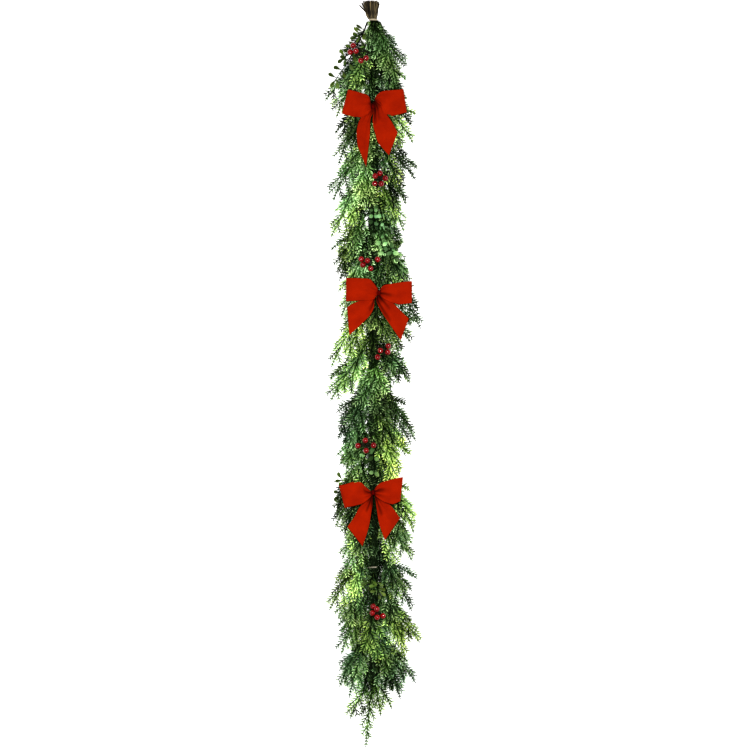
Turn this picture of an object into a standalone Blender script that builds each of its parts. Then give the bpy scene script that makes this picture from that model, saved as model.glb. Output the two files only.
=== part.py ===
"""Christmas garland: cut evergreen sprays wired along a wrapped stem, with three ribbon bows,
berry picks and a tied tuft of twigs at the top. It lies on its back, its top towards +Y and
its face up."""

import math
import random

import bmesh
import bpy
from mathutils import Vector
from mathutils.geometry import tessellate_polygon

MM = 0.001

# Overall frame, in millimetres: +Y runs to the tuft of twigs, +Z to the front of the garland.
# A place along the garland is given as its distance below the top of the twigs.
LENGTH = 1830.0
CLEARANCE = 0.3

# Spine
SPINE_RADIUS = 12.0
SPINE_TOP = 52.5
SPINE_END = 1705.0
SPINE_HEIGHT = 24.0
SPINE_SIDES = 12
SHOULDER_LENGTH = 3.3
TAPER_LENGTH = 24.0

# Neck tie and twigs
NECK_RADIUS = 8.0
NECK_PLACE = 46.0
TWINE_RADIUS = 1.5
STICK_COUNT = 12
STICK_RADIUS = 2.4
STICK_CIRCLE = 5.2
STICK_TOP_RADII = (1.3, 1.9)
STICK_SPREAD = (12.0, 20.0)
STICK_LEAN = -8.0
WAIST_ABOVE = 4.0
LONGEST_STICK = 3
TIE_WIRE_PLACE = 1394.0
TIE_WIRE_RADIUS = 0.8

# Sprays: every frond lies on a sheet that rises from its root towards the lower end, and
# all these sheets are parallel, so that no frond passes through another spray.
RISE = 0.22
DROOP = 22.0
DROOP_START = 20.0
DROOP_REACH = 100.0
STUB_RADIUS = 3.8
STUB_LENGTH = 16.0
SIDE_CLEAR = SPINE_RADIUS + 2.6
FIRST_STATION = 54.0
STATION_PITCH = 102.0
SIDE_SEAT = 88.0
END_ROOT = 1672.0
BACK_FALL = 0.16
FAR = 300.0
FROND_STEP = 4.2
CROWDED_STEP = 2.9
FROND_PARTING = 34.0
RIB_MIDDLE_OUT = 0.60
RIB_MIDDLE_DOWN = 0.34
FIRST_LEAFLET = 8.8
LEAFLET_END_GAP = 7.0
LEAF_END_GAP = 6.0
LEAF_FOOT = 1.8
LEAST_SWELL = 0.36
ADDED_SWELL = 0.78
RIB_HALF_WIDTH = 1.4
RIB_THICKNESS = 2.0
TIP_THICKNESS = 0.7
LEAFLET_CURL = 1.1

# Bows
RIBBON_THICKNESS = 1.2
KNOT_HEIGHT = 73.0
KNOT_RADIUS = 5.0
KNOT_HALF_LENGTH = 4.0
LOOP_FRONT = 11.0
LOOP_BACK = 4.5
LOOP_PLEAT = 1.6
PLEATED_SHARE = 0.62
TAIL_FALL = 5.0
TAIL_CREASE = 2.4
TAIL_SECTIONS = 6
BAND_RADIUS = 1.3
STEM_WIRE_RADIUS = 1.3

# Berries
BERRY_RADIUS = 7.2
BERRY_HEIGHT = 77.0
HUB_HEIGHT = 66.0
HUB_AHEAD = 6.0
PICK_RADIUS = 1.8
BRANCH_RADII = (1.2, 1.0)

MATERIALS = {
    "cedar_green": ((0.062, 0.120, 0.028), 0.55),
    "cedar_lime": ((0.190, 0.290, 0.055), 0.55),
    "juniper": ((0.030, 0.062, 0.028), 0.60),
    "box": ((0.150, 0.205, 0.055), 0.45),
    "eucalyptus": ((0.200, 0.290, 0.150), 0.55),
    "spine": ((0.010, 0.016, 0.008), 0.80),
    "twigs": ((0.075, 0.045, 0.026), 0.80),
    "twine": ((0.480, 0.420, 0.300), 0.90),
    "wire": ((0.350, 0.320, 0.270), 0.50),
    "band": ((0.160, 0.006, 0.004), 0.70),
    "ribbon": ((0.370, 0.014, 0.006), 0.70),
    "berry": ((0.400, 0.010, 0.014), 0.25),
}

# How the leaflets of each kind stand on their rib: spacing along the rib, reach as a share
# of the frond's length, least reach, and sweep towards the tip in degrees. A leaf has a
# length, a width and the number of points a side instead.
KINDS = {
    "cedar_green": {"pitch": 20.0, "share": 0.23, "reach": 9.0, "sweep": 40.0},
    "cedar_lime": {"pitch": 19.7, "share": 0.21, "reach": 9.0, "sweep": 37.0},
    "juniper": {"pitch": 18.8, "share": 0.17, "reach": 10.0, "sweep": 32.0},
    "box": {"pitch": 23.0, "sweep": 52.0, "leaf": (17.0, 10.5, 1)},
    "eucalyptus": {"pitch": 26.0, "sweep": 60.0, "leaf": (20.0, 17.0, 2)},
}

# Side sprays, one on each side of every station, from the top down. Each row gives the kind
# and the tips of the fronds, as the distance from the spine's axis and the distance below
# the top of the twigs.
LEFT_SPRAYS = (
    ("box", ((57, 81), (90, 146), (107, 205))),
    ("cedar_green", ((120, 246), (92, 290), (52, 240))),
    ("juniper", ((96, 328), (86, 406), (54, 366))),
    ("cedar_green", ((85, 436), (100, 494))),
    ("cedar_lime", ((97, 520), (105, 583), (62, 558))),
    ("juniper", ((107, 614), (90, 666), (58, 664))),
    ("cedar_green", ((88, 716), (80, 780), (58, 822))),
    ("cedar_lime", ((78, 828), (104, 902), (65, 888))),
    ("cedar_lime", ((109, 934), (106, 986))),
    ("juniper", ((92, 1014), (80, 1042), (88, 1080))),
    ("cedar_green", ((92, 1120), (67, 1154))),
    ("box", ((98, 1184), (96, 1230), (97, 1268))),
    ("cedar_green", ((84, 1308), (77, 1374))),
    ("cedar_lime", ((97, 1438), (109, 1500), (48, 1472))),
    ("cedar_green", ((88, 1540), (80, 1608))),
    ("juniper", ((85, 1650), (84, 1688), (60, 1714))),
)
RIGHT_SPRAYS = (
    ("juniper", ((61, 112), (84, 162))),
    ("cedar_green", ((82, 196), (68, 252))),
    ("cedar_lime", ((107, 278), (98, 352), (70, 368))),
    ("juniper", ((109, 414), (104, 442), (67, 470))),
    ("cedar_green", ((68, 516), (75, 570))),
    ("eucalyptus", ((68, 604), (84, 676))),
    ("juniper", ((96, 714), (110, 762), (116, 808))),
    ("cedar_green", ((112, 792), (92, 842), (64, 876))),
    ("cedar_green", ((84, 904), (90, 942))),
    ("juniper", ((82, 996), (87, 1042), (104, 1084))),
    ("cedar_lime", ((92, 1118), (65, 1166))),
    ("cedar_lime", ((92, 1208), (104, 1286))),
    ("cedar_green", ((97, 1338), (96, 1380))),
    ("juniper", ((109, 1424), (95, 1454), (94, 1502))),
    ("cedar_lime", ((95, 1534), (114, 1580), (74, 1584))),
    ("juniper", ((82, 1626), (104, 1680), (66, 1718))),
)

# Front sprays: kind, seat as degrees round the spine from its front, the station whose sheet
# they follow, the tips, and the limits between which their leaflets stay sideways. A station
# between two whole numbers has its sheet between the sheets of two side sprays.
FRONT_SPRAYS = (
    ("cedar_green", 6.0, -0.66, ((4, 176), (34, 186), (58, 208)), (-5.0, 80.0)),
    ("cedar_green", -18.0, 2.5, ((-18, 520), (-34, 498)), (-60.0, 1.0)),
    ("eucalyptus", 0.0, 3.5, ((1, 584), (30, 566)), (-60.0, 60.0)),
    ("cedar_green", 0.0, 7.5, ((-27, 1012), (4, 1010), (26, 974)), (-60.0, 60.0)),
    ("eucalyptus", 0.0, 9.5, ((2, 1172), (-38, 1164)), (-60.0, 60.0)),
    ("box", 0.0, 12.6, ((-12, 1452), (16, 1474)), (-60.0, 60.0)),
    ("cedar_lime", 0.0, 13.5, ((11, 1632), (-16, 1610)), (-60.0, 60.0)),
)
END_SPRAY = ("cedar_lime", ((-58, 1766), (-19, 1828), (18, 1760), (46, 1742)))

# Back sprays lie on the surface: the place of their root and their tips.
BACK_SPRAYS = (
    ("cedar_green", 140.0, ((-78, 236), (72, 250))),
    ("juniper", 586.0, ((-80, 682), (76, 694))),
    ("cedar_green", 1030.0, ((-76, 1130), (80, 1122))),
    ("juniper", 1476.0, ((-74, 1572), (76, 1584))),
)

# Bows: the knot, then for the left and right loop and tail the corners of the ribbon as
# seen from the front, from the knot outwards, sideways and downwards from the knot.
BOWS = (
    {
        "knot": (-1.0, 263.0),
        "loops": (
            (((-15, -28), (-61, -41)), ((-30, 29), (-76, 18))),
            (((22, -37), (74, -42)), ((38, 24), (82, 15))),
        ),
        "tails": (
            (((-32, 31), (-40, 60), (-38, 96)), ((-8, 26), (-8, 70), (-17, 148))),
            (((37, 24), (49, 43), (60, 63)), ((-1, 34), (11, 86), (39, 120))),
        ),
    },
    {
        "knot": (13.5, 719.5),
        "loops": (
            (((-18, -32), (-80, -36)), ((-22, 19), (-80, 21))),
            (((24, -22), (80, -28)), ((38, 28), (80, 25))),
        ),
        "tails": (
            (((-30, 14), (-61, 25), (-78, 35)), ((-14, 44), (-35, 68), (-73, 104))),
            (((28, 19), (55, 46), (73, 63)), ((2, 44), (22, 88), (53, 116))),
        ),
    },
    {
        "knot": (-1.0, 1209.0),
        "loops": (
            (((-38, -28), (-83, -17)), ((-31, 29), (-69, 38))),
            (((22, -29), (73, -38)), ((44, 28), (66, 21))),
        ),
        "tails": (
            (((-34, 35), (-45, 58), (-63, 84)), ((-5, 45), (-11, 86), (-26, 132))),
            (((44, 31), (55, 47), (66, 63)), ((8, 30), (15, 75), (29, 117))),
        ),
    },
)

# Berry picks: the foot's place and seat in degrees round the spine, and the berries, as
# sideways and down places with a height above or below the pick's mean.
BERRY_PICKS = (
    (124.0, -33.0, ((-50, 111, 0), (-57, 127, -2), (-43, 125, 3), (-18, 142, 2), (-31, 148, -2))),
    (418.0, 26.0, ((16, 427, -1), (4, 434, 4), (29, 439, -1), (3, 452, -2), (19, 453, 3))),
    (628.0, -10.0, ((-30, 637, 0), (-15, 641, 3), (-26, 651, -2), (10, 638, 2), (-7, 660, 0))),
    (846.0, 20.0, ((36, 850, 2), (17, 861, 0), (35, 865, -2), (10, 877, -4))),
    (1070.0, -20.0, ((-20, 1081, 3), (-38, 1094, -1), (0, 1093, 2), (-18, 1106, -2))),
    (1488.0, 10.0, ((8, 1494, 3), (-3, 1504, -1), (9, 1514, 2), (23, 1511, -2), (-1, 1488, -8))),
)


def clear_scene():
    for item in list(bpy.data.objects):
        bpy.data.objects.remove(item, do_unlink=True)


def make_materials():
    for name, (colour, roughness) in MATERIALS.items():
        material = bpy.data.materials.new(name)
        material.use_nodes = True
        shader = material.node_tree.nodes["Principled BSDF"]
        shader.inputs["Base Color"].default_value = (*colour, 1.0)
        shader.inputs["Roughness"].default_value = roughness
        shader.inputs["Metallic"].default_value = 0.0
        material.diffuse_color = (*colour, 1.0)


def along(below_top):
    """The y of a place that is given as its distance below the top of the twigs."""
    return LENGTH / 2 - below_top


def mesh_from(name, vertices, faces):
    mesh = bpy.data.meshes.new(name)
    mesh.from_pydata([Vector(v) * MM for v in vertices], [], faces)
    mesh.update()
    return mesh


def add_object(name, mesh, material, smooth=None):
    made = bpy.data.objects.new(name, mesh)
    bpy.context.scene.collection.objects.link(made)
    mesh.materials.clear()
    mesh.materials.append(bpy.data.materials[material])
    if smooth is not None:
        mesh.shade_smooth()
        mesh.set_sharp_from_angle(angle=math.radians(smooth))
    return made


def evaluated_mesh(made):
    seen = made.evaluated_get(bpy.context.evaluated_depsgraph_get())
    return bpy.data.meshes.new_from_object(seen)


def fuse(name, meshes, material, smooth=None):
    """One solid from overlapping closed meshes, joined by a Boolean union on a collection."""
    body = add_object(name, meshes[0], material)
    repeats = bpy.data.collections.new(name + "_repeats")
    bpy.context.scene.collection.children.link(repeats)
    for mesh in meshes[1:]:
        repeats.objects.link(bpy.data.objects.new(name + "_repeat", mesh))
    union = body.modifiers.new("union", "BOOLEAN")
    union.operation = "UNION"
    union.operand_type = "COLLECTION"
    union.collection = repeats
    union.solver = "MANIFOLD"
    fused = evaluated_mesh(body)
    for repeat in list(repeats.objects):
        bpy.data.objects.remove(repeat, do_unlink=True)
    bpy.data.collections.remove(repeats)
    bpy.data.objects.remove(body, do_unlink=True)
    return add_object(name, fused, material, smooth)


def tube(points, radii, sides, turn=0.0):
    """A closed tube through the points, its rings square to the run."""
    points = [Vector(p) for p in points]
    vertices = []
    across = None
    for i, point in enumerate(points):
        ahead = points[min(i + 1, len(points) - 1)] - points[max(i - 1, 0)]
        ahead.normalize()
        if across is None:
            across = ahead.orthogonal().normalized()
        across = (across - ahead * across.dot(ahead)).normalized()
        other = ahead.cross(across)
        for k in range(sides):
            angle = turn + math.tau * k / sides
            offset = across * math.cos(angle) + other * math.sin(angle)
            vertices.append(point + offset * radii[i])
    faces = [tuple(reversed(range(sides)))]
    for i in range(len(points) - 1):
        for k in range(sides):
            a = i * sides + k
            b = i * sides + (k + 1) % sides
            faces.append((a, b, b + sides, a + sides))
    last = (len(points) - 1) * sides
    faces.append(tuple(range(last, last + sides)))
    return mesh_from("tube", vertices, faces)


def ring(centre, axis, major, profile, sides):
    """A closed ring round the axis; the profile's points are (outwards, along the axis)."""
    centre = Vector(centre)
    axis = Vector(axis).normalized()
    first = axis.orthogonal().normalized()
    second = axis.cross(first)
    count = len(profile)
    vertices = []
    for k in range(sides):
        angle = math.tau * k / sides
        out = first * math.cos(angle) + second * math.sin(angle)
        for outwards, forwards in profile:
            vertices.append(centre + out * (major + outwards) + axis * forwards)
    faces = []
    for k in range(sides):
        for j in range(count):
            a = k * count + j
            b = k * count + (j + 1) % count
            c = ((k + 1) % sides) * count + (j + 1) % count
            d = ((k + 1) % sides) * count + j
            faces.append((a, d, c, b))
    return mesh_from("ring", vertices, faces)


def round_profile(radius, sides):
    steps = [math.tau * k / sides for k in range(sides)]
    return [(radius * math.cos(a), radius * math.sin(a)) for a in steps]


def ball(centre, radius, segments=6, rings=4):
    work = bmesh.new()
    bmesh.ops.create_uvsphere(work, u_segments=segments, v_segments=rings, radius=radius * MM)
    bmesh.ops.translate(work, verts=work.verts, vec=Vector(centre) * MM)
    mesh = bpy.data.meshes.new("ball")
    work.to_mesh(mesh)
    work.free()
    return mesh


def seat(degrees, stand_off):
    """The sideways place and height of a point that stands off the spine's surface."""
    reach = SPINE_RADIUS + CLEARANCE + stand_off
    angle = math.radians(degrees)
    return reach * math.sin(angle), SPINE_HEIGHT + reach * math.cos(angle)


def rib_curve(root, tip, steps=24):
    """Points along a rib that leaves its root sideways and then hangs towards the tip."""
    root = Vector(root)
    tip = Vector(tip)
    out = (tip.x - root.x) * RIB_MIDDLE_OUT
    down = (tip.y - root.y) * RIB_MIDDLE_DOWN
    middle = root + Vector((out, down))
    points = []
    for i in range(steps + 1):
        t = i / steps
        points.append(root * (1 - t) ** 2 + middle * 2 * t * (1 - t) + tip * t ** 2)
    return points


def place_on_rib(points, distance, across):
    """The plan point that lies so far along the rib and so far to its side."""
    walked = 0.0
    last = len(points) - 2
    for i in range(last + 1):
        step = points[i + 1] - points[i]
        if walked + step.length >= distance or i == last:
            ahead = step.normalized()
            start = points[i] + ahead * (distance - walked)
            return start + Vector((-ahead.y, ahead.x)) * across
        walked += step.length
    return points[-1].copy()


def rib_edge(distance, length):
    """A point on the rib's edge, which draws in towards the tip."""
    share = distance / length
    return Vector((distance, RIB_HALF_WIDTH * (1.15 - 0.4 * share * share)))


def leaflet(kind, start, length, reach, sweep):
    """One leaflet's outline beyond its foot, as (along, across) points on the near side."""
    lean = Vector((math.cos(sweep), math.sin(sweep)))
    wide = Vector((lean.y, -lean.x))
    foot = rib_edge(start, length)
    if "leaf" in kind:
        long, width, points = kind["leaf"]
        shares = (0.55,) if points == 1 else (0.32, 0.74)
        back = [foot + lean * long * s - wide * width / 2 for s in shares]
        front = [foot + lean * long * s + wide * width / 2 for s in reversed(shares)]
        end = foot + lean * long
        return [foot, *back, end, *front, rib_edge(start + LEAF_FOOT, length)]
    return [foot, foot + lean * reach]


def mirror(point):
    return Vector((point.x, -point.y))


def frond_leaflets(kind, length, draw):
    """The (along, across) outline of a frond, up one side, over its end and down the other,
    in one list of points for each leaflet."""
    leaf_length = kind["leaf"][0] if "leaf" in kind else 0.0
    end_gap = leaf_length + LEAF_END_GAP if leaf_length else LEAFLET_END_GAP
    first = FIRST_LEAFLET
    last = max(length - end_gap, first + 2.0)
    count = max(1, int((last - first) / kind["pitch"]))
    pitch = (last - first) / count
    sides = []
    for offset in (0.0, 0.5):
        side = [[rib_edge(0.0, length)]]
        for i in range(count):
            start = first + (i + offset) * pitch
            share = (start - first) / (last - first)
            bulge = math.sin(math.pi * min(1.0, share + 0.14) ** 0.85)
            swell = LEAST_SWELL + ADDED_SWELL * bulge
            most = kind.get("share", 0.0) * length + kind.get("reach", 0.0)
            reach = most * swell * draw.uniform(0.86, 1.1)
            sweep = math.radians(kind["sweep"] * draw.uniform(0.95, 1.05))
            side.append(leaflet(kind, start, length, reach, sweep))
        sides.append(side)
    end = [Vector((length, 0.0))]
    if leaf_length:
        half = kind["leaf"][1] / 2
        neck = rib_edge(length - leaf_length, length)
        wide = Vector((length - leaf_length * 0.5, half))
        end = [neck, wide, Vector((length, 0.0)), mirror(wide), mirror(neck)]
    far_side = [[mirror(point) for point in reversed(one)] for one in reversed(sides[1])]
    return sides[0] + [end] + far_side


def sheet_drop(x):
    """How far the sheets hang down at this distance from the spine."""
    beyond = max(0.0, abs(x) - DROOP_START)
    return DROOP * (beyond / DROOP_REACH) ** 2


def blade(outline, heights, thicknesses):
    """A closed blade: the outline is split into triangles alike on both faces."""
    count = len(outline)
    flat = [Vector((p.x, p.y, 0.0)) for p in outline]
    triangles = []
    for a, b, c in tessellate_polygon([flat]):
        turn = (outline[b] - outline[a]).cross(outline[c] - outline[a])
        triangles.append((a, b, c) if turn > 0 else (a, c, b))
    area = sum(outline[i - 1].cross(outline[i]) for i in range(count))
    top = [(p.x, p.y, h + t / 2) for p, h, t in zip(outline, heights, thicknesses)]
    bottom = [(p.x, p.y, h - t / 2) for p, h, t in zip(outline, heights, thicknesses)]
    faces = list(triangles)
    faces += [tuple(count + i for i in reversed(face)) for face in triangles]
    for i in range(count):
        j = (i + 1) % count
        side = (i, i + count, j + count, j)
        faces.append(side if area > 0 else tuple(reversed(side)))
    return mesh_from("blade", top + bottom, faces)


def frond(kind_name, root, tip, height_at, draw, limits, curl):
    """One frond from its root to its tip, both in plan, on the sheet that height_at gives.
    Where a leaflet would pass the limits it is bent back to them, and a leaf is left off."""
    kind = KINDS[kind_name]
    points = rib_curve(root, tip)
    length = sum((b - a).length for a, b in zip(points, points[1:]))
    outline = []
    heights = []
    thicknesses = []
    for spots in frond_leaflets(kind, length, draw):
        places = [place_on_rib(points, spot.x, spot.y) for spot in spots]
        past = any(not limits[0] <= place.x <= limits[1] for place in places)
        if past and len(spots) > 3:
            continue
        for spot, place in zip(spots, places):
            outer = abs(spot.y) > RIB_HALF_WIDTH * 1.5
            if outer:
                place.x = min(max(place.x, limits[0]), limits[1])
            thick = TIP_THICKNESS if outer or spot.x >= length else RIB_THICKNESS
            bend = curl * draw.uniform(0.3, 1.0) if outer else 0.0
            outline.append(place)
            heights.append(height_at(place, spot.x, thick) + bend)
            thicknesses.append(thick)
    return blade(outline, heights, thicknesses)


def sheet_spray(name, kind, degrees, station, tips, limits, seed, root_place=None):
    """A stub seated on the spine and the fronds that fan out from it."""
    draw = random.Random(seed)
    x, z = seat(degrees, STUB_RADIUS)
    if root_place is None:
        side_height = SPINE_HEIGHT + 1.0
        level = side_height + RISE * along(FIRST_STATION + station * STATION_PITCH)
        y = (level - z) / RISE
    else:
        y = along(root_place)
        level = z + RISE * y
    half = STUB_LENGTH / 2
    meshes = [tube([(x, y + half, z), (x, y - half, z)], (STUB_RADIUS,) * 2, 6)]
    middle = (len(tips) - 1) / 2
    step = FROND_STEP if len(tips) < 4 else CROWDED_STEP
    for i, (tip_x, tip_down) in enumerate(tips):
        lift = (i - middle) * step
        curl = LEAFLET_CURL if lift > 0 else -LEAFLET_CURL

        def height_at(place, distance, thick):
            parted = lift * min(1.0, distance / FROND_PARTING)
            return level - RISE * place.y - sheet_drop(place.x) + parted

        tip = (tip_x, along(tip_down))
        meshes.append(frond(kind, (x, y), tip, height_at, draw, limits, curl))
    return fuse(name, meshes, kind)


def back_spray(name, kind, root_place, tips, seed):
    """A spray under the spine whose fronds come down to the surface and lie on it."""
    draw = random.Random(seed)
    x, z = seat(180.0, STUB_RADIUS)
    y = along(root_place)
    half = STUB_LENGTH / 2
    meshes = [tube([(x, y + half, z), (x, y - half, z)], (STUB_RADIUS,) * 2, 6)]
    for i, (tip_x, tip_down) in enumerate(tips):

        def height_at(place, distance, thick):
            return max(thick / 2, z - distance * BACK_FALL)

        tip = (tip_x, along(tip_down))
        meshes.append(frond(kind, (x, y), tip, height_at, draw, (-FAR, FAR), 0.0))
    return fuse(name, meshes, kind)


def add_spine():
    first = along(SPINE_TOP)
    last = along(SPINE_END)
    shoulder = first - SHOULDER_LENGTH
    taper = last + TAPER_LENGTH
    places = (first, shoulder, (shoulder + taper) / 2, taper, last + TAPER_LENGTH / 2, last)
    radii = (NECK_RADIUS, SPINE_RADIUS, SPINE_RADIUS, SPINE_RADIUS, 8.0, 3.0)
    points = [(0.0, y, SPINE_HEIGHT) for y in places]
    add_object("spine", tube(points, radii, SPINE_SIDES), "spine", smooth=40)


def add_twigs():
    """Sticks that cross the neck side by side, fused there, and splay above it."""
    draw = random.Random(11)
    foot = along(SPINE_TOP - CLEARANCE)
    neck = along(NECK_PLACE)
    core = tube([(0, foot, SPINE_HEIGHT), (0, neck + 9, SPINE_HEIGHT)], (6.2, 5.2), 8)
    meshes = [core]
    for i in range(STICK_COUNT):
        angle = math.tau * i / STICK_COUNT
        out = Vector((math.cos(angle), 0.0, math.sin(angle)))
        spread = draw.uniform(*STICK_SPREAD)
        top = along(0.0 if i == LONGEST_STICK else draw.uniform(1.0, 14.0))
        lower = Vector((0, foot, SPINE_HEIGHT)) + out * STICK_CIRCLE
        waist = Vector((0, neck + WAIST_ABOVE, SPINE_HEIGHT)) + out * STICK_CIRCLE
        upper = Vector((STICK_LEAN, top, SPINE_HEIGHT)) + out * spread
        thick = draw.uniform(*STICK_TOP_RADII)
        radii = (STICK_RADIUS, STICK_RADIUS, thick)
        meshes.append(tube([lower, waist, upper], radii, 4, angle))
    stray = [(-4, neck + 4, SPINE_HEIGHT + 3), (-20, along(26), 32), (-35, along(12), 38)]
    meshes.append(tube(stray, (2.0, 1.3, 0.8), 4))
    fuse("twig_bundle", meshes, "twigs")


def add_neck_tie():
    """Two turns of twine, laid side by side and pressed into one ring."""
    radius = TWINE_RADIUS
    profile = [
        (-radius, -radius * 0.9), (-radius, radius * 0.9), (0.0, radius * 1.9),
        (radius, radius), (radius * 0.45, 0.0), (radius, -radius), (0.0, -radius * 1.9),
    ]
    major = NECK_RADIUS + CLEARANCE + radius
    centre = (0.0, along(NECK_PLACE), SPINE_HEIGHT)
    mesh = ring(centre, (0, 1, 0), major, list(reversed(profile)), 12)
    add_object("neck_tie", mesh, "twine", smooth=50)


def add_tie_wire():
    major = SPINE_RADIUS + CLEARANCE + TIE_WIRE_RADIUS + 0.2
    centre = (0.0, along(TIE_WIRE_PLACE), SPINE_HEIGHT)
    profile = round_profile(TIE_WIRE_RADIUS, 4)
    mesh = ring(centre, (0.12, 1, 0.0), major, profile, 14)
    add_object("tie_wire", mesh, "wire", smooth=60)


def polyline(points, share):
    """The point at this share of the way along straight pieces of equal weight."""
    place = share * (len(points) - 1)
    i = min(int(place), len(points) - 2)
    return points[i].lerp(points[i + 1], place - i)


def ribbon_strip(sections):
    """A ribbon of even thickness through sections that each hold the same count of points."""
    across = len(sections[0])
    vertices = [p for section in sections for p in section]
    faces = []
    for i in range(len(sections) - 1):
        for j in range(across - 1):
            a = i * across + j
            faces.append((a, a + 1, a + across + 1, a + across))
    sheet = bpy.data.objects.new("strip", mesh_from("strip", vertices, faces))
    bpy.context.scene.collection.objects.link(sheet)
    solid = sheet.modifiers.new("thickness", "SOLIDIFY")
    solid.thickness = RIBBON_THICKNESS * MM
    solid.offset = 0.0
    made = evaluated_mesh(sheet)
    bpy.data.objects.remove(sheet, do_unlink=True)
    return made


def knot_edges(side, half_width, first, upper, lower):
    """The two edges of a loop or a tail, from the pinch outwards, in plan from the knot."""
    start = Vector((side * first, half_width))
    top = [start] + [Vector((x, -y)) for x, y in upper]
    start = Vector((side * first, -half_width))
    bottom = [start] + [Vector((x, -y)) for x, y in lower]
    return top, bottom


def bow_loop(side, upper, lower, across=4):
    """One loop: out along its front, round its end and back behind, pleated at the pinch."""
    top, bottom = knot_edges(side, 3.0, 2.4, upper, lower)
    run = (
        (0.0, 1.6), (0.16, 6.0), (0.42, LOOP_FRONT), (0.88, LOOP_FRONT * 0.86),
        (1.0, 2.5), (0.90, -LOOP_BACK * 0.9), (0.40, -LOOP_BACK), (0.0, -1.6),
    )
    sections = []
    for share, height in run:
        a = polyline(top, share)
        b = polyline(bottom, share)
        pleat = 0.0
        if height > 0:
            pleat = LOOP_PLEAT * math.sin(math.pi * min(1.0, share / PLEATED_SHARE))
        section = []
        for j in range(across):
            point = a.lerp(b, j / (across - 1))
            crease = pleat * (-1) ** j * (0.6 if j in (0, across - 1) else 1.0)
            section.append(Vector((point.x, point.y, height + crease)))
        sections.append(section)
    return sections


def bow_tail(side, upper, lower, across=3):
    """One tail, from the pinch down to its slanting end."""
    top, bottom = knot_edges(side, 2.6, 3.6, upper, lower)
    sections = []
    for i in range(TAIL_SECTIONS + 1):
        share = i / TAIL_SECTIONS
        a = polyline(top, share)
        b = polyline(bottom, share)
        section = []
        for j in range(across):
            point = a.lerp(b, j / (across - 1))
            crease = TAIL_CREASE * math.sin(math.pi * share) * (-1) ** j
            section.append(Vector((point.x, point.y, -1.5 - TAIL_FALL * share + crease)))
        sections.append(section)
    return sections


def add_bow(number, bow):
    x, below = bow["knot"]
    knot = Vector((x, along(below), KNOT_HEIGHT))
    ends = (-KNOT_HALF_LENGTH, KNOT_HALF_LENGTH)
    pinch = [knot + Vector((offset, 0, 0)) for offset in ends]
    meshes = [tube(pinch, (KNOT_RADIUS, KNOT_RADIUS), 8)]
    for part, shape in (("loops", bow_loop), ("tails", bow_tail)):
        for side, (upper, lower) in zip((-1, 1), bow[part]):
            sections = shape(side, upper, lower)
            moved = [[p + knot for p in section] for section in sections]
            if side < 0:
                moved = [list(reversed(section)) for section in moved]
            meshes.append(ribbon_strip(moved))
    fuse(f"bow_{number}_ribbon", meshes, "ribbon")
    add_bow_tie(number, knot)


def add_bow_tie(number, knot):
    """The band round the pinch, with the wire that runs back to the spine."""
    major = KNOT_RADIUS + CLEARANCE + BAND_RADIUS
    band = ring(knot, (1, 0, 0), major, round_profile(BAND_RADIUS, 5), 10)
    start = knot - Vector((0, 0, major))
    foot_x = max(-4.0, min(4.0, knot.x * 0.4))
    surface = math.sqrt((SPINE_RADIUS + CLEARANCE) ** 2 - foot_x ** 2)
    foot = Vector((foot_x, knot.y, SPINE_HEIGHT + surface + 0.1))
    wire = tube([foot, start], (STEM_WIRE_RADIUS, STEM_WIRE_RADIUS), 5)
    fuse(f"bow_{number}_tie", [band, wire], "band")


def add_berry_pick(number, place, degrees, berries):
    """A branched stem seated on the spine, with a berry at the end of each branch."""
    foot_x, foot_z = seat(degrees, 0.1)
    out_x, out_z = seat(degrees, 7.0)
    y = along(place)
    knee = Vector((out_x, y, out_z))
    hub = Vector((out_x, y - HUB_AHEAD, HUB_HEIGHT))
    meshes = [tube([(foot_x, y, foot_z), knee, hub], (PICK_RADIUS,) * 3, 4)]
    for i, (x, below, height) in enumerate(berries):
        centre = Vector((x, along(below), BERRY_HEIGHT + height))
        fork = hub.lerp(knee, 0.06 + 0.11 * i)
        meshes.append(tube([fork, centre], BRANCH_RADII, 3, 0.4 * i))
        meshes.append(ball(centre, BERRY_RADIUS))
    fuse(f"berry_pick_{number}", meshes, "berry", smooth=60)


def add_sprays():
    seed = 100
    for station, (kind, tips) in enumerate(LEFT_SPRAYS):
        turned = tuple((-x, down) for x, down in tips)
        name = f"spray_left_{station + 1:02d}"
        limits = (-FAR, -SIDE_CLEAR)
        sheet_spray(name, kind, -SIDE_SEAT, station, turned, limits, seed + station)
    for station, (kind, tips) in enumerate(RIGHT_SPRAYS):
        name = f"spray_right_{station + 1:02d}"
        limits = (SIDE_CLEAR, FAR)
        sheet_spray(name, kind, SIDE_SEAT, station, tips, limits, seed + 40 + station)
    for i, (kind, degrees, station, tips, limits) in enumerate(FRONT_SPRAYS):
        sheet_spray(f"spray_front_{i + 1}", kind, degrees, station, tips, limits, seed + 80 + i)
    kind, tips = END_SPRAY
    limits = (-FAR, FAR)
    sheet_spray("spray_end", kind, 0.0, 0.0, tips, limits, seed + 90, root_place=END_ROOT)
    for i, (kind, place, tips) in enumerate(BACK_SPRAYS):
        back_spray(f"spray_back_{i + 1}", kind, place, tips, seed + 95 + i)


def centre_on_origin():
    """Hang all pieces on one empty that brings the middle of the underside to the origin."""
    bpy.context.view_layer.update()
    pieces = [item for item in bpy.data.objects if item.type == "MESH"]
    corners = [v.co for item in pieces for v in item.data.vertices]
    low = [min(c[k] for c in corners) for k in range(3)]
    high = [max(c[k] for c in corners) for k in range(3)]
    garland = bpy.data.objects.new("garland", None)
    bpy.context.scene.collection.objects.link(garland)
    garland.location = (-(low[0] + high[0]) / 2, -(low[1] + high[1]) / 2, -low[2])
    for item in pieces:
        item.parent = garland


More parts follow.
